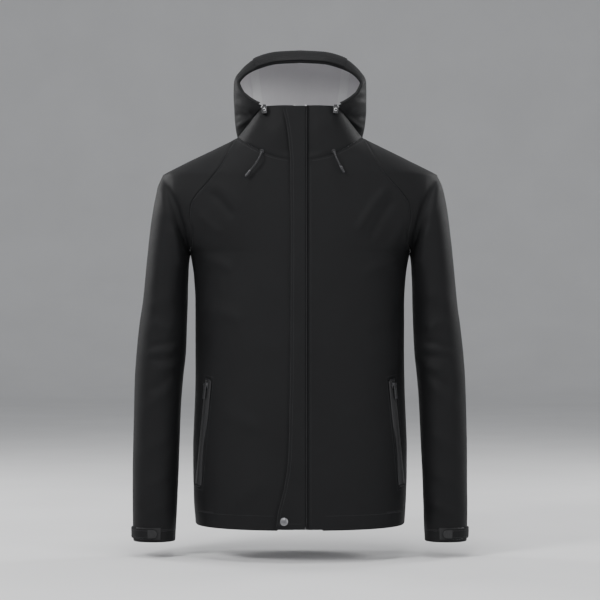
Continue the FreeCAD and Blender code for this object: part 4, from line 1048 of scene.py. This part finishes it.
# brim: laminated double layer over the crown of the opening
s_ = np.linspace(0, 0.31, 30)
t_ = np.concatenate([[0, 0.004, 0.01], np.linspace(0.02, 0.19, 22), [0.196, 0.2]])
S, T = np.meshgrid(s_, t_)
gb_ = hood_pt(S, T)
g = np.concatenate([(gb_ * mirv)[:, :0:-1], gb_], 1)
TT = np.concatenate([T[:, :0:-1], T], 1)
SS = np.concatenate([S[:, :0:-1], S], 1)
N = outward(grid_normals(g), g, np.array([0.0, 15.0, 60.0]))
h = 2.2 - 0.6 * np.exp(-((0.2 - TT) * 330 / 1.6) ** 2) - 0.5 * np.exp(-(TT * 330 / 1.4) ** 2) - 0.5 * np.exp(-((0.31 - SS) * 260 / 1.6) ** 2)
for c_ in (5.0, 14.0, 24.0):
    h = h - 0.28 * np.exp(-((TT * 330 - c_) / 1.1) ** 2)
g = g + N * h[..., None]
put("brim", g, ref_hood, (M_SHELL, M_SHELL, M_EDGE), "hood", t=1.5, nodes=["hood_brim"])
ps = []
for d in (5.0, 14.0, 24.0, 62.0):
    i = int(np.argmin(np.abs(t_ * 330 - d)))
    ps.append((g[i, 2:-2], N[i, 2:-2]))
sewn("brim_stitching", ps, "hood")

# turned face opening, cord inside, inner seam tapes
s_ = np.linspace(0, 0.95, 64)
rowsR = []
for tt, off in ((0.0, 0.9), (-0.003, 1.8), (-0.0035, 3.6), (0.0, 5.0), (0.012, 5.6), (0.03, 5.6), (0.055, 5.4), (0.078, 1.2)):
    q = hood_pt(s_, np.full_like(s_, max(tt, 0.0)))
    q2 = hood_pt(s_, np.full_like(s_, max(tt, 0.0) + 0.02))
    tan = np.gradient(q, axis=0)
    n = np.cross(tan, q2 - q)
    n *= np.sign(np.sum(n * (q - np.array([0, 15, 60.0])), 1))[:, None]
    n /= np.linalg.norm(n, axis=1, keepdims=True)
    dirt = (q2 - q) / np.linalg.norm(q2 - q, axis=1, keepdims=True)
    rowsR.append(q - n * off + dirt * (min(tt, 0.0) * 330))
R = np.array(rowsR)
g = np.concatenate([(R * mirv)[:, :0:-1], R], 1)
put("hood_opening_turning", g, lambda P: np.stack([P[:, 0] * 0.3, P[:, 1] + 20, P[:, 2] * 0 + 60], -1), DARK_MATS, None, t=0.8,
    nodes=["hood_opening_hem"], blend=HOOD_BLEND)
s_ = np.linspace(0, 0.93, 70)
q = hood_pt(s_, np.full_like(s_, 0.035))
q2 = hood_pt(s_, np.full_like(s_, 0.055))
n = np.cross(np.gradient(q, axis=0), q2 - q)
n *= np.sign(np.sum(n * (q - np.array([0, 15, 60.0])), 1))[:, None]
n /= np.linalg.norm(n, axis=1, keepdims=True)
q = q - n * 3.2
tube("hood_elastic_cord", np.concatenate([(q * mirv)[:0:-1], q]), 1.2, M_CORD, blend=HOOD_BLEND, nodes=["hood_drawcord"])
for side, m in (("left", 1), ("right", -1)):
    st = np.linspace(S_SEAM - 0.034, S_SEAM + 0.034, 9)
    tt = np.linspace(0.085, 0.975, 60)
    S, T = np.meshgrid(st, tt)
    g = hood_pt(S, T) * (mirv if m < 0 else 1)
    N = outward(grid_normals(g), g, np.array([0.0, 15.0, 60.0]))
    k = sstep((T - 0.06) / 0.2) * sstep((1 - T) / 0.08)
    h = (0.9 * noise(g, 60.0, 31) + 0.35 * noise(g, 24.0, 32)) * k
    h = h - 0.25 * np.exp(-(np.abs(S - S_SEAM) * 260 / 2.0) ** 2) - FAB - 0.5
    put("hood_seam_tape_" + side, g + N * h[..., None], ref_hood, (M_TAPE, M_TAPE, M_TAPE), None, t=0.22,
        nodes=["hood_seam_tapes"] if m > 0 else [], blend=HOOD_BLEND)

# ------------------------------------------------------------------ centre front
q_ = math.sqrt(1 + CF_TILT ** 2)
CFN, CFD, CFW = np.array([0, -1, CF_TILT]) / q_, np.array([0, -CF_TILT, -1]) / q_, np.array([1.0, 0, 0])
ZT = -2.3


def cf_at(z, off=0.0):
    z = np.asarray(z, float)
    return np.stack([z * 0, -(CF_TOP + CF_TILT * (46 - z)), z], -1) + CFN * off


FLAP_T, FLAP_LIFT, FLAP_HINGE_X = 1.4, 3.3, 9.5
FE = [(-730, -44), (-705, -41), (-660, -30), (-610, -22.5), (-560, -20.5), (-400, -18), (-200, -17.5), (-60, -18.5), (0, -24), (44, -33)]
zz = np.concatenate([[-733.6, -732.8, -731], np.linspace(-727, 38, 190), [41.5, 43.2, 44]])
xe = spl([a for a, b in FE], [b for a, b in FE], zz)
wd = FLAP_HINGE_X - xe
dcol = np.array([0, 0.5, 1.2, 2.2, 4.0, 5.2, 6.0, 6.8, 8.2])
rel = np.concatenate([np.linspace(0, 1, 9)[:-1], [1.0]])
g = []
for z, x, w in zip(zz, xe, wd):
    xs = np.concatenate([x + dcol, np.linspace(x + 9.5, FLAP_HINGE_X - 0.02, 8)])
    g.append(np.stack([xs, xs * 0, xs * 0 + z], -1))
g = np.array(g)
D_ = g[..., 0] - xe[:, None]
zend = np.minimum(g[..., 2] + 733.6, 44 - g[..., 2])
h = 0.0 - 0.55 * np.exp(-(D_ / 0.9) ** 2) - 0.5 * np.exp(-(zend / 0.9) ** 2) - 0.22 * np.exp(-((D_ - 6.0) / 0.7) ** 2)
h = h + (0.55 * noise(g, 46.0, 41, (1, 1, 1.4)) + 0.2 * noise(g, 17.0, 42)) * sstep((FLAP_HINGE_X - g[..., 0]) / 10) * sstep((g[..., 2] + 730) / 60)
h = h + 0.9 * noise(g * np.array([0.0, 0, 1]), 60.0, 44) * sstep((FLAP_HINGE_X - g[..., 0]) / 22) * sstep((g[..., 2] + 700) / 40) * 0.6
base = cf_at(g[..., 2], FLAP_LIFT + FLAP_T)
base[..., 0] = g[..., 0]
g = base + CFN * h[..., None]
put("flap", g, ref_axis, DARK_MATS, "storm_flap", t=FLAP_T, nodes=["storm_flap"])
N = np.broadcast_to(CFN, g.shape)
sewn("flap_stitching", [(g[3:-3, 6], N[3:-3, 6]), (g[3:-3, 2], N[3:-3, 2]), (g[4, 3:-1], N[4, 3:-1])], "storm_flap")

prof = [(9.72, 0.1), (9.72, 3.5), (9.95, 3.9), (11.6, 4.0), (12.7, 3.85), (13.3, 3.4), (13.6, 2.5), (14.2, 1.1), (15.4, 0.25), (15.4, 0.1)]
zz = np.linspace(-733.6, 44, 160)
g = []
for z in zz:
    wv = 0.08 * math.sin(z * 0.11) + 0.06 * math.sin(z * 0.037 + 1)
    b0 = cf_at(z)
    g.append([b0 + CFN * (n + (wv if n > 2 else 0)) + CFW * x for x, n in prof])
g = np.array(g)
P, F, inv = weld(g.reshape(-1, 3), quads(g.shape[0], g.shape[1], True))
F = [tuple(f) for f in F] + [tuple(range(len(prof))), tuple(len(P) - 1 - k for k in range(len(prof)))]
o = make("flap_seam", P, F, [M_SHELL])
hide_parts("flap_seam_strip")
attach(o, "shell")
sewn("strip_stitching", [(g[2:-2, 3] + np.array([0.2, 0, 0]), np.broadcast_to(CFN, (156, 3)))], "shell")

# separate moulded teeth
zt, zb = Z_TOP - 4.0, Z_HEM + 7.0
LEN = q_ * (zt - zb)
o0 = cf_at(zt, ZT)
it = []
V, F = [], []
pitch = 2.6
n = int((LEN - 11.5) / pitch)
shape = [(0.05, -0.42), (0.05, 0.42), (0.75, 0.72), (1.35, 0.42), (3.05, 0.55), (3.05, -0.55), (1.35, -0.42), (0.75, -0.72)]
for sgn in (1, -1):
    for k in range(n):
        c = o0 + CFD * (3.6 + k * pitch + (pitch / 2 if sgn < 0 else 0))
        b = len(V)
        for nn, sc in ((-1.15, 0.86), (-0.8, 1.0), (0.8, 1.0), (1.15, 0.86)):
            for (x, y) in shape:
                xx = 1.5 + (x - 1.5) * sc - 0.75
                V.append(c + CFW * (sgn * (xx + 0.0)) + CFD * (y * sc) + CFN * nn)
        for h_ in range(3):
            for j in range(8):
                a, e = j, (j + 1) % 8
                f = (b + h_ * 8 + a, b + h_ * 8 + e, b + h_ * 8 + 8 + e, b + h_ * 8 + 8 + a)
                F.append(f if sgn < 0 else f[::-1])
        f0, f1 = tuple(b + j for j in range(8)), tuple(b + 31 - j for j in range(8))
        F += [f0, f1] if sgn > 0 else [f0[::-1], f1[::-1]]
o = make("zip_chain", np.array(V), F, [M_TEETH], None, False)
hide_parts("main_zip_teeth")
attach(o, "shell")

# inner wind flap and chin guard
zz = np.linspace(-730, -6, 90)
xx = np.linspace(-22, 22, 15)
X, Z = np.meshgrid(xx, zz)
g = cf_at(Z, 0)
g[..., 0] = X
g = g + CFN * (-6.0 + 0.3 * noise(g, 40.0, 51) - 0.5 * np.exp(-((22 - np.abs(X)) / 1.0) ** 2) - 0.25 * np.exp(-((16 - np.abs(X)) / 0.9) ** 2))[..., None]
put("wind_flap", g, ref_axis, DARK_MATS, "shell", t=0.9, nodes=["inner_wind_flap"])
sewn("wind_flap_stitching", [(g[:, 2] - CFN * 1.0, -np.broadcast_to(CFN, g[:, 2].shape)), (g[:, -3] - CFN * 1.0, -np.broadcast_to(CFN, g[:, 2].shape))], "shell")
xx, zz = np.linspace(-34, 34, 36), np.linspace(-2, 44, 26)
X, Z = np.meshgrid(xx, zz)
g = cf_at(Z, 0)
g[..., 0] = X
g[..., 1] += 0.0012 * X ** 2
ex_ = np.minimum(34 - np.abs(X), np.minimum(Z + 2, 44 - Z))
g = g + CFN * (-8.5 + 0.25 * noise(g, 12.0, 52) - 0.3 * np.exp(-(ex_ / 1.2) ** 2))[..., None]
put("chin_guard_soft", g, lambda P: P * np.array([0, 0, 1.0]), (M_TRICOT,) * 3, "shell", t=1.1, nodes=["chin_guard"])

# ------------------------------------------------------------------ hand pockets
pd = np.array([0.09812, 0.07813, -0.9921])
pn = np.array([0.80395, -0.5938, 0.03275])
pw = np.array([0.58655, 0.80081, 0.12107])
pt = np.array([170.0, float(ysurf(np.array([170.0]), np.array([-470.0]), False)[0]), -470.0])
po = pt - 6 * pd + 3.0 * pn
PKL = 195.45
for side, m in (("left", 1), ("right", -1)):
    mv = mirv if m < 0 else np.ones(3)
    V, F = [], []
    for sg in (1, -1):
        wv = [0.25, 0.25, 0.6, 1.2, 3.0, 4.4, 5.2, 6.0, 8.4, 9.4, 9.8, 9.8, 5.0, 0.6]
        nv = [-0.3, 0.25, 0.5, 0.52, 0.46, 0.4, 0.12, 0.34, 0.2, 0.1, -0.15, -0.5, -0.5, -0.5]
        rows_ = []
        for d in np.linspace(0, PKL, 80):
            rows_.append([po + pd * d + pw * sg * a + pn * (b - 0.02 * a * a + 0.10 * math.sin(d * 0.4 + sg)) for a, b in zip(wv, nv)])
        rows_ = np.array(rows_) * mv
        b = len(V)
        V.extend(rows_.reshape(-1, 3).tolist())
        ff = quads(rows_.shape[0], rows_.shape[1], True) + b
        ff = [tuple(f) for f in ff.tolist()]
        caps = [tuple(b + j for j in range(len(wv))), tuple(b + rows_.shape[0] * len(wv) - 1 - j for j in range(len(wv)))]
        ff += caps
        if sg * m > 0:
            ff = [f[::-1] for f in ff]
        F += ff
    nb = len(F)
    items = []
    for k in range(int((PKL - 8) / 1.5)):
        for sg in (1, -1):
            c = po + pd * (4 + 1.5 * k + (0.75 if sg > 0 else 0)) + pw * sg * 1.1 - pn * 1.1
            items.append((c * mv, (pw * mv, pd * mv, pn * mv), (0.95, 0.5, 0.5), 0.2))
    for d0 in (-1.7, PKL + 1.7):
        items.append(((po + pd * d0 - pn * 0.35) * mv, (pw * mv, pd * mv, pn * mv), (8.6, 1.5, 0.55), 0.35))
    V2, F2 = boxes(items)
    F2 = [tuple(x + len(V) for x in f) for f in F2]
    o = make("pocket_closure_" + side, np.concatenate([np.array(V), V2]), F + F2, [M_ZTAPE, M_TEETH],
             [0] * nb + [1] * len(F2), True)
    o.data.polygons.foreach_set("use_smooth", [True] * nb + [False] * len(F2))
    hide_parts("pocket_zip_" + side)
    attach(o, "shell")
    ps = []
    for sg, off in ((1, 12.2), (-1, 12.2), (-1, 18.0)):
        d = np.linspace(-9, PKL + 9, 60)
        c = po + pd * d[:, None] + pw * sg * off
        y = ysurf(c[:, 0], c[:, 2], False)
        c[:, 1] = y
        ps.append((c * mv, np.tile(pn * mv, (60, 1))))
    for d0 in (-9.0, PKL + 9.0):
        w_ = np.linspace(-18, 12.2, 14)
        c = po + pd * d0 + pw * w_[:, None]
        c[:, 1] = ysurf(c[:, 0], c[:, 2], False)
        ps.append((c * mv, np.tile(pn * mv, (14, 1))))
    sewn("pocket_stitching_" + side, ps, "shell")
    # pocket bag
    xs, zs = np.linspace(45, 183, 40), np.linspace(-690, -450, 60)
    X, Z = np.meshgrid(xs, zs)
    X = np.minimum(X, half_w(zs)[:, None] - 12)
    g = np.stack([X, ysurf(X, Z, False), Z], -1) * mv
    N = outward(grid_normals(g), g, g * np.array([0.35, 0, 1]))
    ex_ = np.minimum(X - 45, np.minimum(Z + 690, -450 - Z))
    g = g - N * (8.9 + 0.5 * noise(g, 50.0, 61) - 0.4 * sstep((ex_ - 2) / 3))[..., None]
    put("pocket_lining_" + side, g, ref_axis, (M_MESHBAG,) * 3, "shell", t=0.5, nodes=["pocket_bag_" + side])

# ------------------------------------------------------------------ cuff tabs
def cuff_surf(z, a):
    s = s_of_z(z)
    return sleeve_pt(s, a)


for side, m in (("left", 1), ("right", -1)):
    mv = mirv if m < 0 else np.ones(3)
    cen = np.array([273.0, -31.0, -750.0])

    def band(a0, a1, na, z0, z1, nz, off, tip):
        A = np.radians(np.linspace(a0, a1, na))
        arc = np.linspace(0, 1, na) * abs(math.radians(a1 - a0)) * 41.0
        hw = (z1 - z0) / 2
        k = np.ones(na)
        if tip:
            q = np.clip(arc / hw, 0, 1)
            k = np.sqrt(np.clip(1 - (1 - q) ** 2.6, 0.02, 1))
        vv = np.linspace(-1, 1, nz)
        Zg = (z0 + z1) / 2 + hw * vv[:, None] * k[None, :]
        Ag = np.broadcast_to(A[None, :], Zg.shape)
        g = cuff_surf(Zg, Ag)
        N = g - cen
        N[..., 2] = 0
        N /= np.linalg.norm(N, axis=-1, keepdims=True)
        ed = np.minimum((1 - np.abs(vv))[:, None] * hw * k[None, :], np.broadcast_to(arc[None, :], Zg.shape) if tip else 99)
        return g, N, ed, arc
    refc = lambda P, m=m: np.stack([P[:, 0] * 0 + m * 273.0, P[:, 1] * 0 - 31, P[:, 2]], -1)
    g, N, ed, arc = band(-108, -40, 40, -760, -738, 16, 0, False)
    g = g + N * (1.1 - 0.35 * np.exp(-(ed / 1.1) ** 2) + 0.12 * noise(g, 2.2, 71))[..., None]
    put("cuff_loop_pile_" + side, g * mv, refc, (M_PILE, M_PILE, M_PILE), "forearm_" + side, t=0.8, nodes=["cuff_patch_" + side])
    g, N, ed, arc = band(-100, 14, 90, -759, -740, 25, 0, True)
    g = g + N * (3.25 - 0.45 * np.exp(-(ed / 0.8) ** 2) - 0.2 * np.exp(-((ed - 2.6) / 0.55) ** 2))[..., None]
    put("cuff_strap_" + side, g * mv, refc, (M_SHELL, M_PILE, M_EDGE), "cuff_tab_" + side, t=1.4, nodes=["cuff_tab_" + side])
    sewn("cuff_strap_stitching_" + side, [(g[4, 4:-1] * mv, N[4, 4:-1] * mv), (g[-5, 4:-1] * mv, N[-5, 4:-1] * mv)], "cuff_tab_" + side,
         pitch=2.9, length=2.0, r=0.22)
    # moulded tip with three grip ridges
    g, N, ed, arc = band(-99, -79, 26, -757.2, -741.8, 17, 0, True)
    h = 3.75 - 0.4 * np.exp(-(ed / 0.7) ** 2)
    for c_ in (4.5, 7.2, 9.9):
        h = h + 0.45 * np.exp(-((arc[None, :] - c_) / 0.6) ** 2) * sstep((ed - 1.0) / 1.2)
    put("cuff_strap_tip_" + side, (g + N * h[..., None]) * mv, refc, (M_PATCH,) * 3, "cuff_tab_" + side, t=0.5)

# ------------------------------------------------------------------ neck: hanger loop and blank label
a = np.linspace(0, math.pi, 61)
zl = LOOP[2] - 18.5 + 18.5 * np.maximum(0, np.sin(a)) ** 0.8
lp = np.stack([-28 * np.cos(a), LOOP[1] + 0.42 * (LOOP[2] - zl), zl], -1)
ys = np.linspace(-4.9, 2.6, 9)
g = lp[None] + np.stack([ys * 0, ys, ys * 0], -1)[:, None]
g[..., 2] += -0.12 * np.abs((np.linspace(-1, 1, 9)) ** 4)[:, None]
put("hanging_loop", g, lambda P: np.tile(np.array([0, 84.0, -60.0]), (len(P), 1)), (M_WEB,) * 3, "shell", t=1.4, nodes=["hanger_loop"])
ps = []
for k in (2, 3, 57, 58):
    ps.append((g[1:-1, k], np.tile(np.array([0, -0.3, 0.95]), (7, 1)) if False else np.tile((lp[k] - np.array([0, 84, -30.0])) / np.linalg.norm(lp[k] - np.array([0, 84, -30.0])), (7, 1))))
sewn("loop_bartacks", ps, "shell", pitch=1.2, length=1.0, r=0.25, lift=0.1)
xs, zs = np.linspace(-22, 22, 30), np.linspace(-66, -36, 22)
X, Z = np.meshgrid(xs, zs)
g = np.stack([X, depth_b(Z) * (1 - 0 * X), Z], -1)
ex_ = np.minimum(22 - np.abs(X), np.minimum(Z + 66, -36 - Z))
g[..., 1] -= 2.5 + 0.15 * noise(g, 14.0, 81) - 0.2 * np.exp(-(ex_ / 0.9) ** 2)
put("blank_label", g, ref_axis, (M_TAPE,) * 3, "shell", t=0.45, nodes=["neck_label"])
b_ = [(1, slice(1, -1)), (-2, slice(1, -1))]
inn = np.array([0, -1.0, 0])
ps = [(g[i, s] + inn * 0.45, np.tile(inn, (28, 1))) for i, s in b_] + [(g[1:-1, i] + inn * 0.45, np.tile(inn, (20, 1))) for i in (1, -2)]
sewn("label_stitching", ps, "shell", pitch=2.6, length=1.8, r=0.2, lift=0.05)

# ------------------------------------------------------------------ drawcord tails
def ring_piece(name, c, ax, R, r, mat, body, nodes=(), disc=None):
    c, ax = np.asarray(c, float), np.asarray(ax, float)
    ax = ax / np.linalg.norm(ax)
    u = np.cross(ax, [0.3, 0.2, 0.93])
    u /= np.linalg.norm(u)
    w = np.cross(ax, u)
    V, F = [], []
    na, nb_ = 36, 12
    for i in range(na):
        A = 2 * math.pi * i / na
        rad = math.cos(A) * u + math.sin(A) * w
        for j in range(nb_):
            B = 2 * math.pi * j / nb_
            V.append(c + rad * (R + r * math.cos(B)) + ax * (0.75 * r * math.sin(B)))
    for i in range(na):
        for j in range(nb_):
            k, l = (i + 1) % na, (j + 1) % nb_
            F.append((i * nb_ + j, k * nb_ + j, k * nb_ + l, i * nb_ + l))
    idx = [0] * len(F)
    mats = [mat]
    if disc is not None:
        b = len(V)
        for dz in (-0.9, -0.3):
            for i in range(na):
                A = 2 * math.pi * i / na
                V.append(c + (math.cos(A) * u + math.sin(A) * w) * (R - 0.2) + ax * dz * r)
        F += [tuple(b + na + i for i in range(na)), tuple(b + na - 1 - i for i in range(na))]
        F += [(b + i, b + (i + 1) % na, b + na + (i + 1) % na, b + na + i) for i in range(na)]
        idx += [1] * (na + 2)
        mats.append(disc)
    o = make(name, np.array(V), F, mats, idx)
    if nodes:
        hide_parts(*nodes)
    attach(o, body)
    return o


ROUTES = {
    "left": [(62.36, -100.0, -39.81), (63.56, -107.42, -42.53), (65.7, -111.27, -49.8), (69.51, -110.77, -59.03), (74.01, -109.87, -66.77)],
    "right": [(-70.36, -98.22, -39.81), (-71.56, -105.65, -42.53), (-73.86, -109.48, -49.76), (-78.66, -108.98, -58.52),
              (-85.04, -107.99, -67.43), (-91.36, -107.68, -75.17)]}
for side, m, ln in (("left", 1, 0.035), ("right", -1, 0.047)):
    pts = ROUTES[side]
    cu = bpy.data.curves.new("hood_tail_" + side, "CURVE")
    cu.dimensions = "3D"
    cu.bevel_depth = 0.0014
    cu.bevel_resolution = 5
    cu.resolution_u = 14
    cu.use_fill_caps = True
    sp = cu.splines.new("NURBS")
    sp.points.add(len(pts) - 1)
    for k, p in enumerate(pts):
        sp.points[k].co = (*row(p).tolist(), 1.0)
    sp.order_u = 3
    sp.use_endpoint_u = True
    cu.materials.append(M_CORD)
    o = bpy.data.objects.new("hood_tail_" + side, cu)
    bpy.context.scene.collection.objects.link(o)
    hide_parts("hood_cord_" + side)
    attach(o, "shell")
    n0 = np.array([0.15 * m, -0.93, -0.34])
    n0 /= np.linalg.norm(n0)
    ring_piece("eyelet_" + side, np.array(pts[0]) - n0 * 0.75, n0, 3.1, 0.95, M_TRIM, "shell",
               nodes=["cord_eyelets"] if m > 0 else [], disc=M_TEETH)
    # collars and grip rings on the cord end
    a_, b_ = np.array(pts[-2]), np.array(pts[-1])
    d_ = (b_ - a_) / np.linalg.norm(b_ - a_)
    for k, t_ in enumerate((1.6, 8.2, 9.8, 11.4)):
        ring_piece("cord_end_ring_%s_%d" % (side, k), b_ + d_ * t_, d_, 2.45, 0.42, M_TRIM if k else M_GUN, "shell")
    # fabric tab that holds the hood cordlock at the collar corner
    hardpiece("hood_lock_tab_" + side, [((m * 67.5, -86.6, 35.5), ((1, 0, 0), (0, 1, -0.1), (0, 0.1, 1)), (3.4, 3.6, 4.6), 0.9)], M_WEB, "shell", smooth=True)
    ring_piece("hood_lock_eyelet_" + side, (m * 66, -98.6, 37.5), (0, -1, 0), 2.2, 0.6, M_METAL, "shell", disc=M_TEETH)
    o = tube("hood_lock_cord_" + side, np.array([(m * (66 + 9 * math.sin(t) * 0.35), -99.4 - 3.2 * math.sin(t), 37.5 - 7.5 * (1 - math.cos(t)) / 2 * 1.0) for t in np.linspace(0, math.pi, 24)]),
             0.75, M_CORD, "shell")

# snap: turned rim and centre dimple
SNZ = -719.0
c0 = cf_at(SNZ, 0) + np.array([-29.0, 0, 0])
ring_piece("snap_cap_rim", c0 + CFN * (FLAP_LIFT + FLAP_T + 1.45), CFN, 6.6, 0.55, M_GUNL, "storm_flap")
ring_piece("snap_cap_centre", c0 + CFN * (FLAP_LIFT + FLAP_T + 2.35), CFN, 2.6, 0.35, M_GUNL, "storm_flap")

# ------------------------------------------------------------------ kept CAD pieces: finish and soft edges
LOOKS = {"main_slider": M_METAL, "main_pull": M_PULL, "snap_cap": M_GUNL, "snap_socket": M_GUNL, "snap_stud": M_METAL,
         "main_zip_tapes": M_ZTAPE, "zip_box_and_stops": M_TEETH, "hood_cordlock_bodies": M_TRIM, "hem_cordlock_bodies": M_TRIM}
for n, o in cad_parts.items():
    if o.hide_render:
        continue
    mt = LOOKS.get(n)
    if mt is None:
        if n.startswith("pocket_slider"):
            mt = M_GUNL
        elif n.startswith("pocket_pull"):
            mt = M_GUNL
        elif "button" in n or n.startswith("cord_end"):
            mt = M_TRIM
        else:
            mt = M_SHELL
            print("plain node still showing:", n)
    for sl in o.material_slots:
        sl.material = mt
    if n != "main_zip_tapes":
        bv = o.modifiers.new("soft_edges", "BEVEL")
        bv.width = 0.00035
        bv.segments = 2
        bv.limit_method = "ANGLE"
        bv.angle_limit = math.radians(40)

# ------------------------------------------------------------------ camera, light, floor
CAM_Z = -314.5
cam = bpy.data.cameras.new("cam")
cam.lens = 130
cam.sensor_width = 36
co = bpy.data.objects.new("camera", cam)
bpy.context.scene.collection.objects.link(co)
co.location = row((0, -4100, CAM_Z))
co.rotation_euler = (math.radians(90), 0, 0)
bpy.context.scene.camera = co


def area(name, loc, target, size, power, color=(1, 1, 1)):
    l = bpy.data.lights.new(name, "AREA")
    l.shape = "DISK"
    l.size = size
    l.energy = power
    l.color = color
    o = bpy.data.objects.new(name, l)
    o.location = loc
    o.visible_camera = False
    d = Vector(target) - Vector(loc)
    o.rotation_euler = d.to_track_quat("-Z", "Y").to_euler()
    bpy.context.scene.collection.objects.link(o)
    return o


area("key", (-2.0, -2.3, 1.7), (0, 0, -0.25), 1.1, 66)
area("fill", (2.4, -2.6, 0.5), (0, 0, -0.3), 1.8, 26)
area("rim_l", (-2.1, 1.2, 0.7), (-0.2, 0, -0.3), 0.9, 34)
area("rim_r", (2.1, 1.3, 0.8), (0.2, 0, -0.3), 0.9, 34)
area("hood_light", (0.0, -1.7, 0.42), (0, 0, 0.09), 0.5, 5)
area("top", (0, -0.5, 2.5), (0, 0, 0), 1.2, 42)
w = bpy.data.worlds.new("w")
bpy.context.scene.world = w
w.use_nodes = True
w.node_tree.nodes["Background"].inputs[0].default_value = (0.9, 0.92, 0.95, 1)
w.node_tree.nodes["Background"].inputs[1].default_value = 0.38

me = bpy.data.meshes.new("floor")
zf = float(row((0, 0, -795))[2])
prof = [(-14.0, zf), (6.0, zf)]
for k in range(1, 13):
    a = math.pi / 2 * k / 12
    prof.append((6.0 + 2.0 * math.sin(a), zf + 2.0 * (1 - math.cos(a))))
prof.append((8.0, zf + 9))
vs = [(x, y, z) for (y, z) in prof for x in (-14, 14)]
me.from_pydata(vs, [], [(2 * i, 2 * i + 1, 2 * i + 3, 2 * i + 2) for i in range(len(prof) - 1)])
me.polygons.foreach_set("use_smooth", [True] * len(me.polygons))
fl = bpy.data.objects.new("floor", me)
bpy.context.scene.collection.objects.link(fl)
mf, nt, b = nt_new("floor_paper")
vec = coords(nt)
nt.links.new(ramp(nt, tex_noise(nt, vec, 3.0), [(0.3, (0.74, 0.74, 0.745)), (0.7, (0.78, 0.78, 0.785))]), b.inputs["Base Color"])
b.inputs["Roughness"].default_value = 0.9
me.materials.append(mf)

# ------------------------------------------------------------------ cut sizes of the cloth pieces: width, length, area, what they hang from
BOTH = ("_left", "_right")
CUT = [(["front" + s for s in BOTH], 0.270, 0.857, 0.166, ["back_yoke"]),
       (["back_body"], 0.542, 0.743, 0.327, ["back_yoke"]),
       (["back_yoke_cloth"], 0.334, 0.122, 0.020, ["hanger_loop"]),
       (["stand_collar" + s for s in BOTH], 0.181, 0.107, 0.0102, ["back_yoke"]),
       (["raglan_sleeve" + s for s in BOTH], 0.420, 0.360, 0.110, ["back_yoke"]),
       (["lower_sleeve" + s for s in BOTH], 0.380, 0.440, 0.137, ["upper_sleeve_left", "upper_sleeve_right"]),
       (["hood_centre"], 0.182, 0.274, 0.0451, ["back_yoke"]),
       (["hood_side_panel" + s for s in BOTH], 0.214, 0.239, 0.0236, ["back_yoke"]),
       (["brim"], 0.185, 0.052, 0.0088, ["hood_centre_panel"]),
       (["hood_opening_turning"], 0.438, 0.025, 0.0076, ["hood_centre_panel"]),
       (["cuff_turning" + s for s in BOTH], 0.251, 0.022, 0.0052, ["forearm_left", "forearm_right"]),
       (["hem_turning" + s for s in BOTH], 0.238, 0.031, 0.0072, ["front_panel_left", "front_panel_right"]),
       (["hem_turning_back"], 0.507, 0.031, 0.0154, ["back_panel"]),
       (["flap"], 0.054, 0.783, 0.0243, ["front_panel_left"]),
       (["wind_flap"], 0.044, 0.726, 0.0319, ["front_panel_left"]),
       (["chin_guard_soft"], 0.068, 0.046, 0.0031, ["collar_left"]),
       (["pocket_lining" + s for s in BOTH], 0.155, 0.241, 0.0367, ["front_panel_left", "front_panel_right"]),
       (["blank_label"], 0.044, 0.032, 0.0014, ["back_yoke"])]
for names, wd, ln, ar, on in CUT:
    for nm in names:
        [q for q in on if len(on) == 1 or q.endswith(nm[nm.rindex("_"):])]
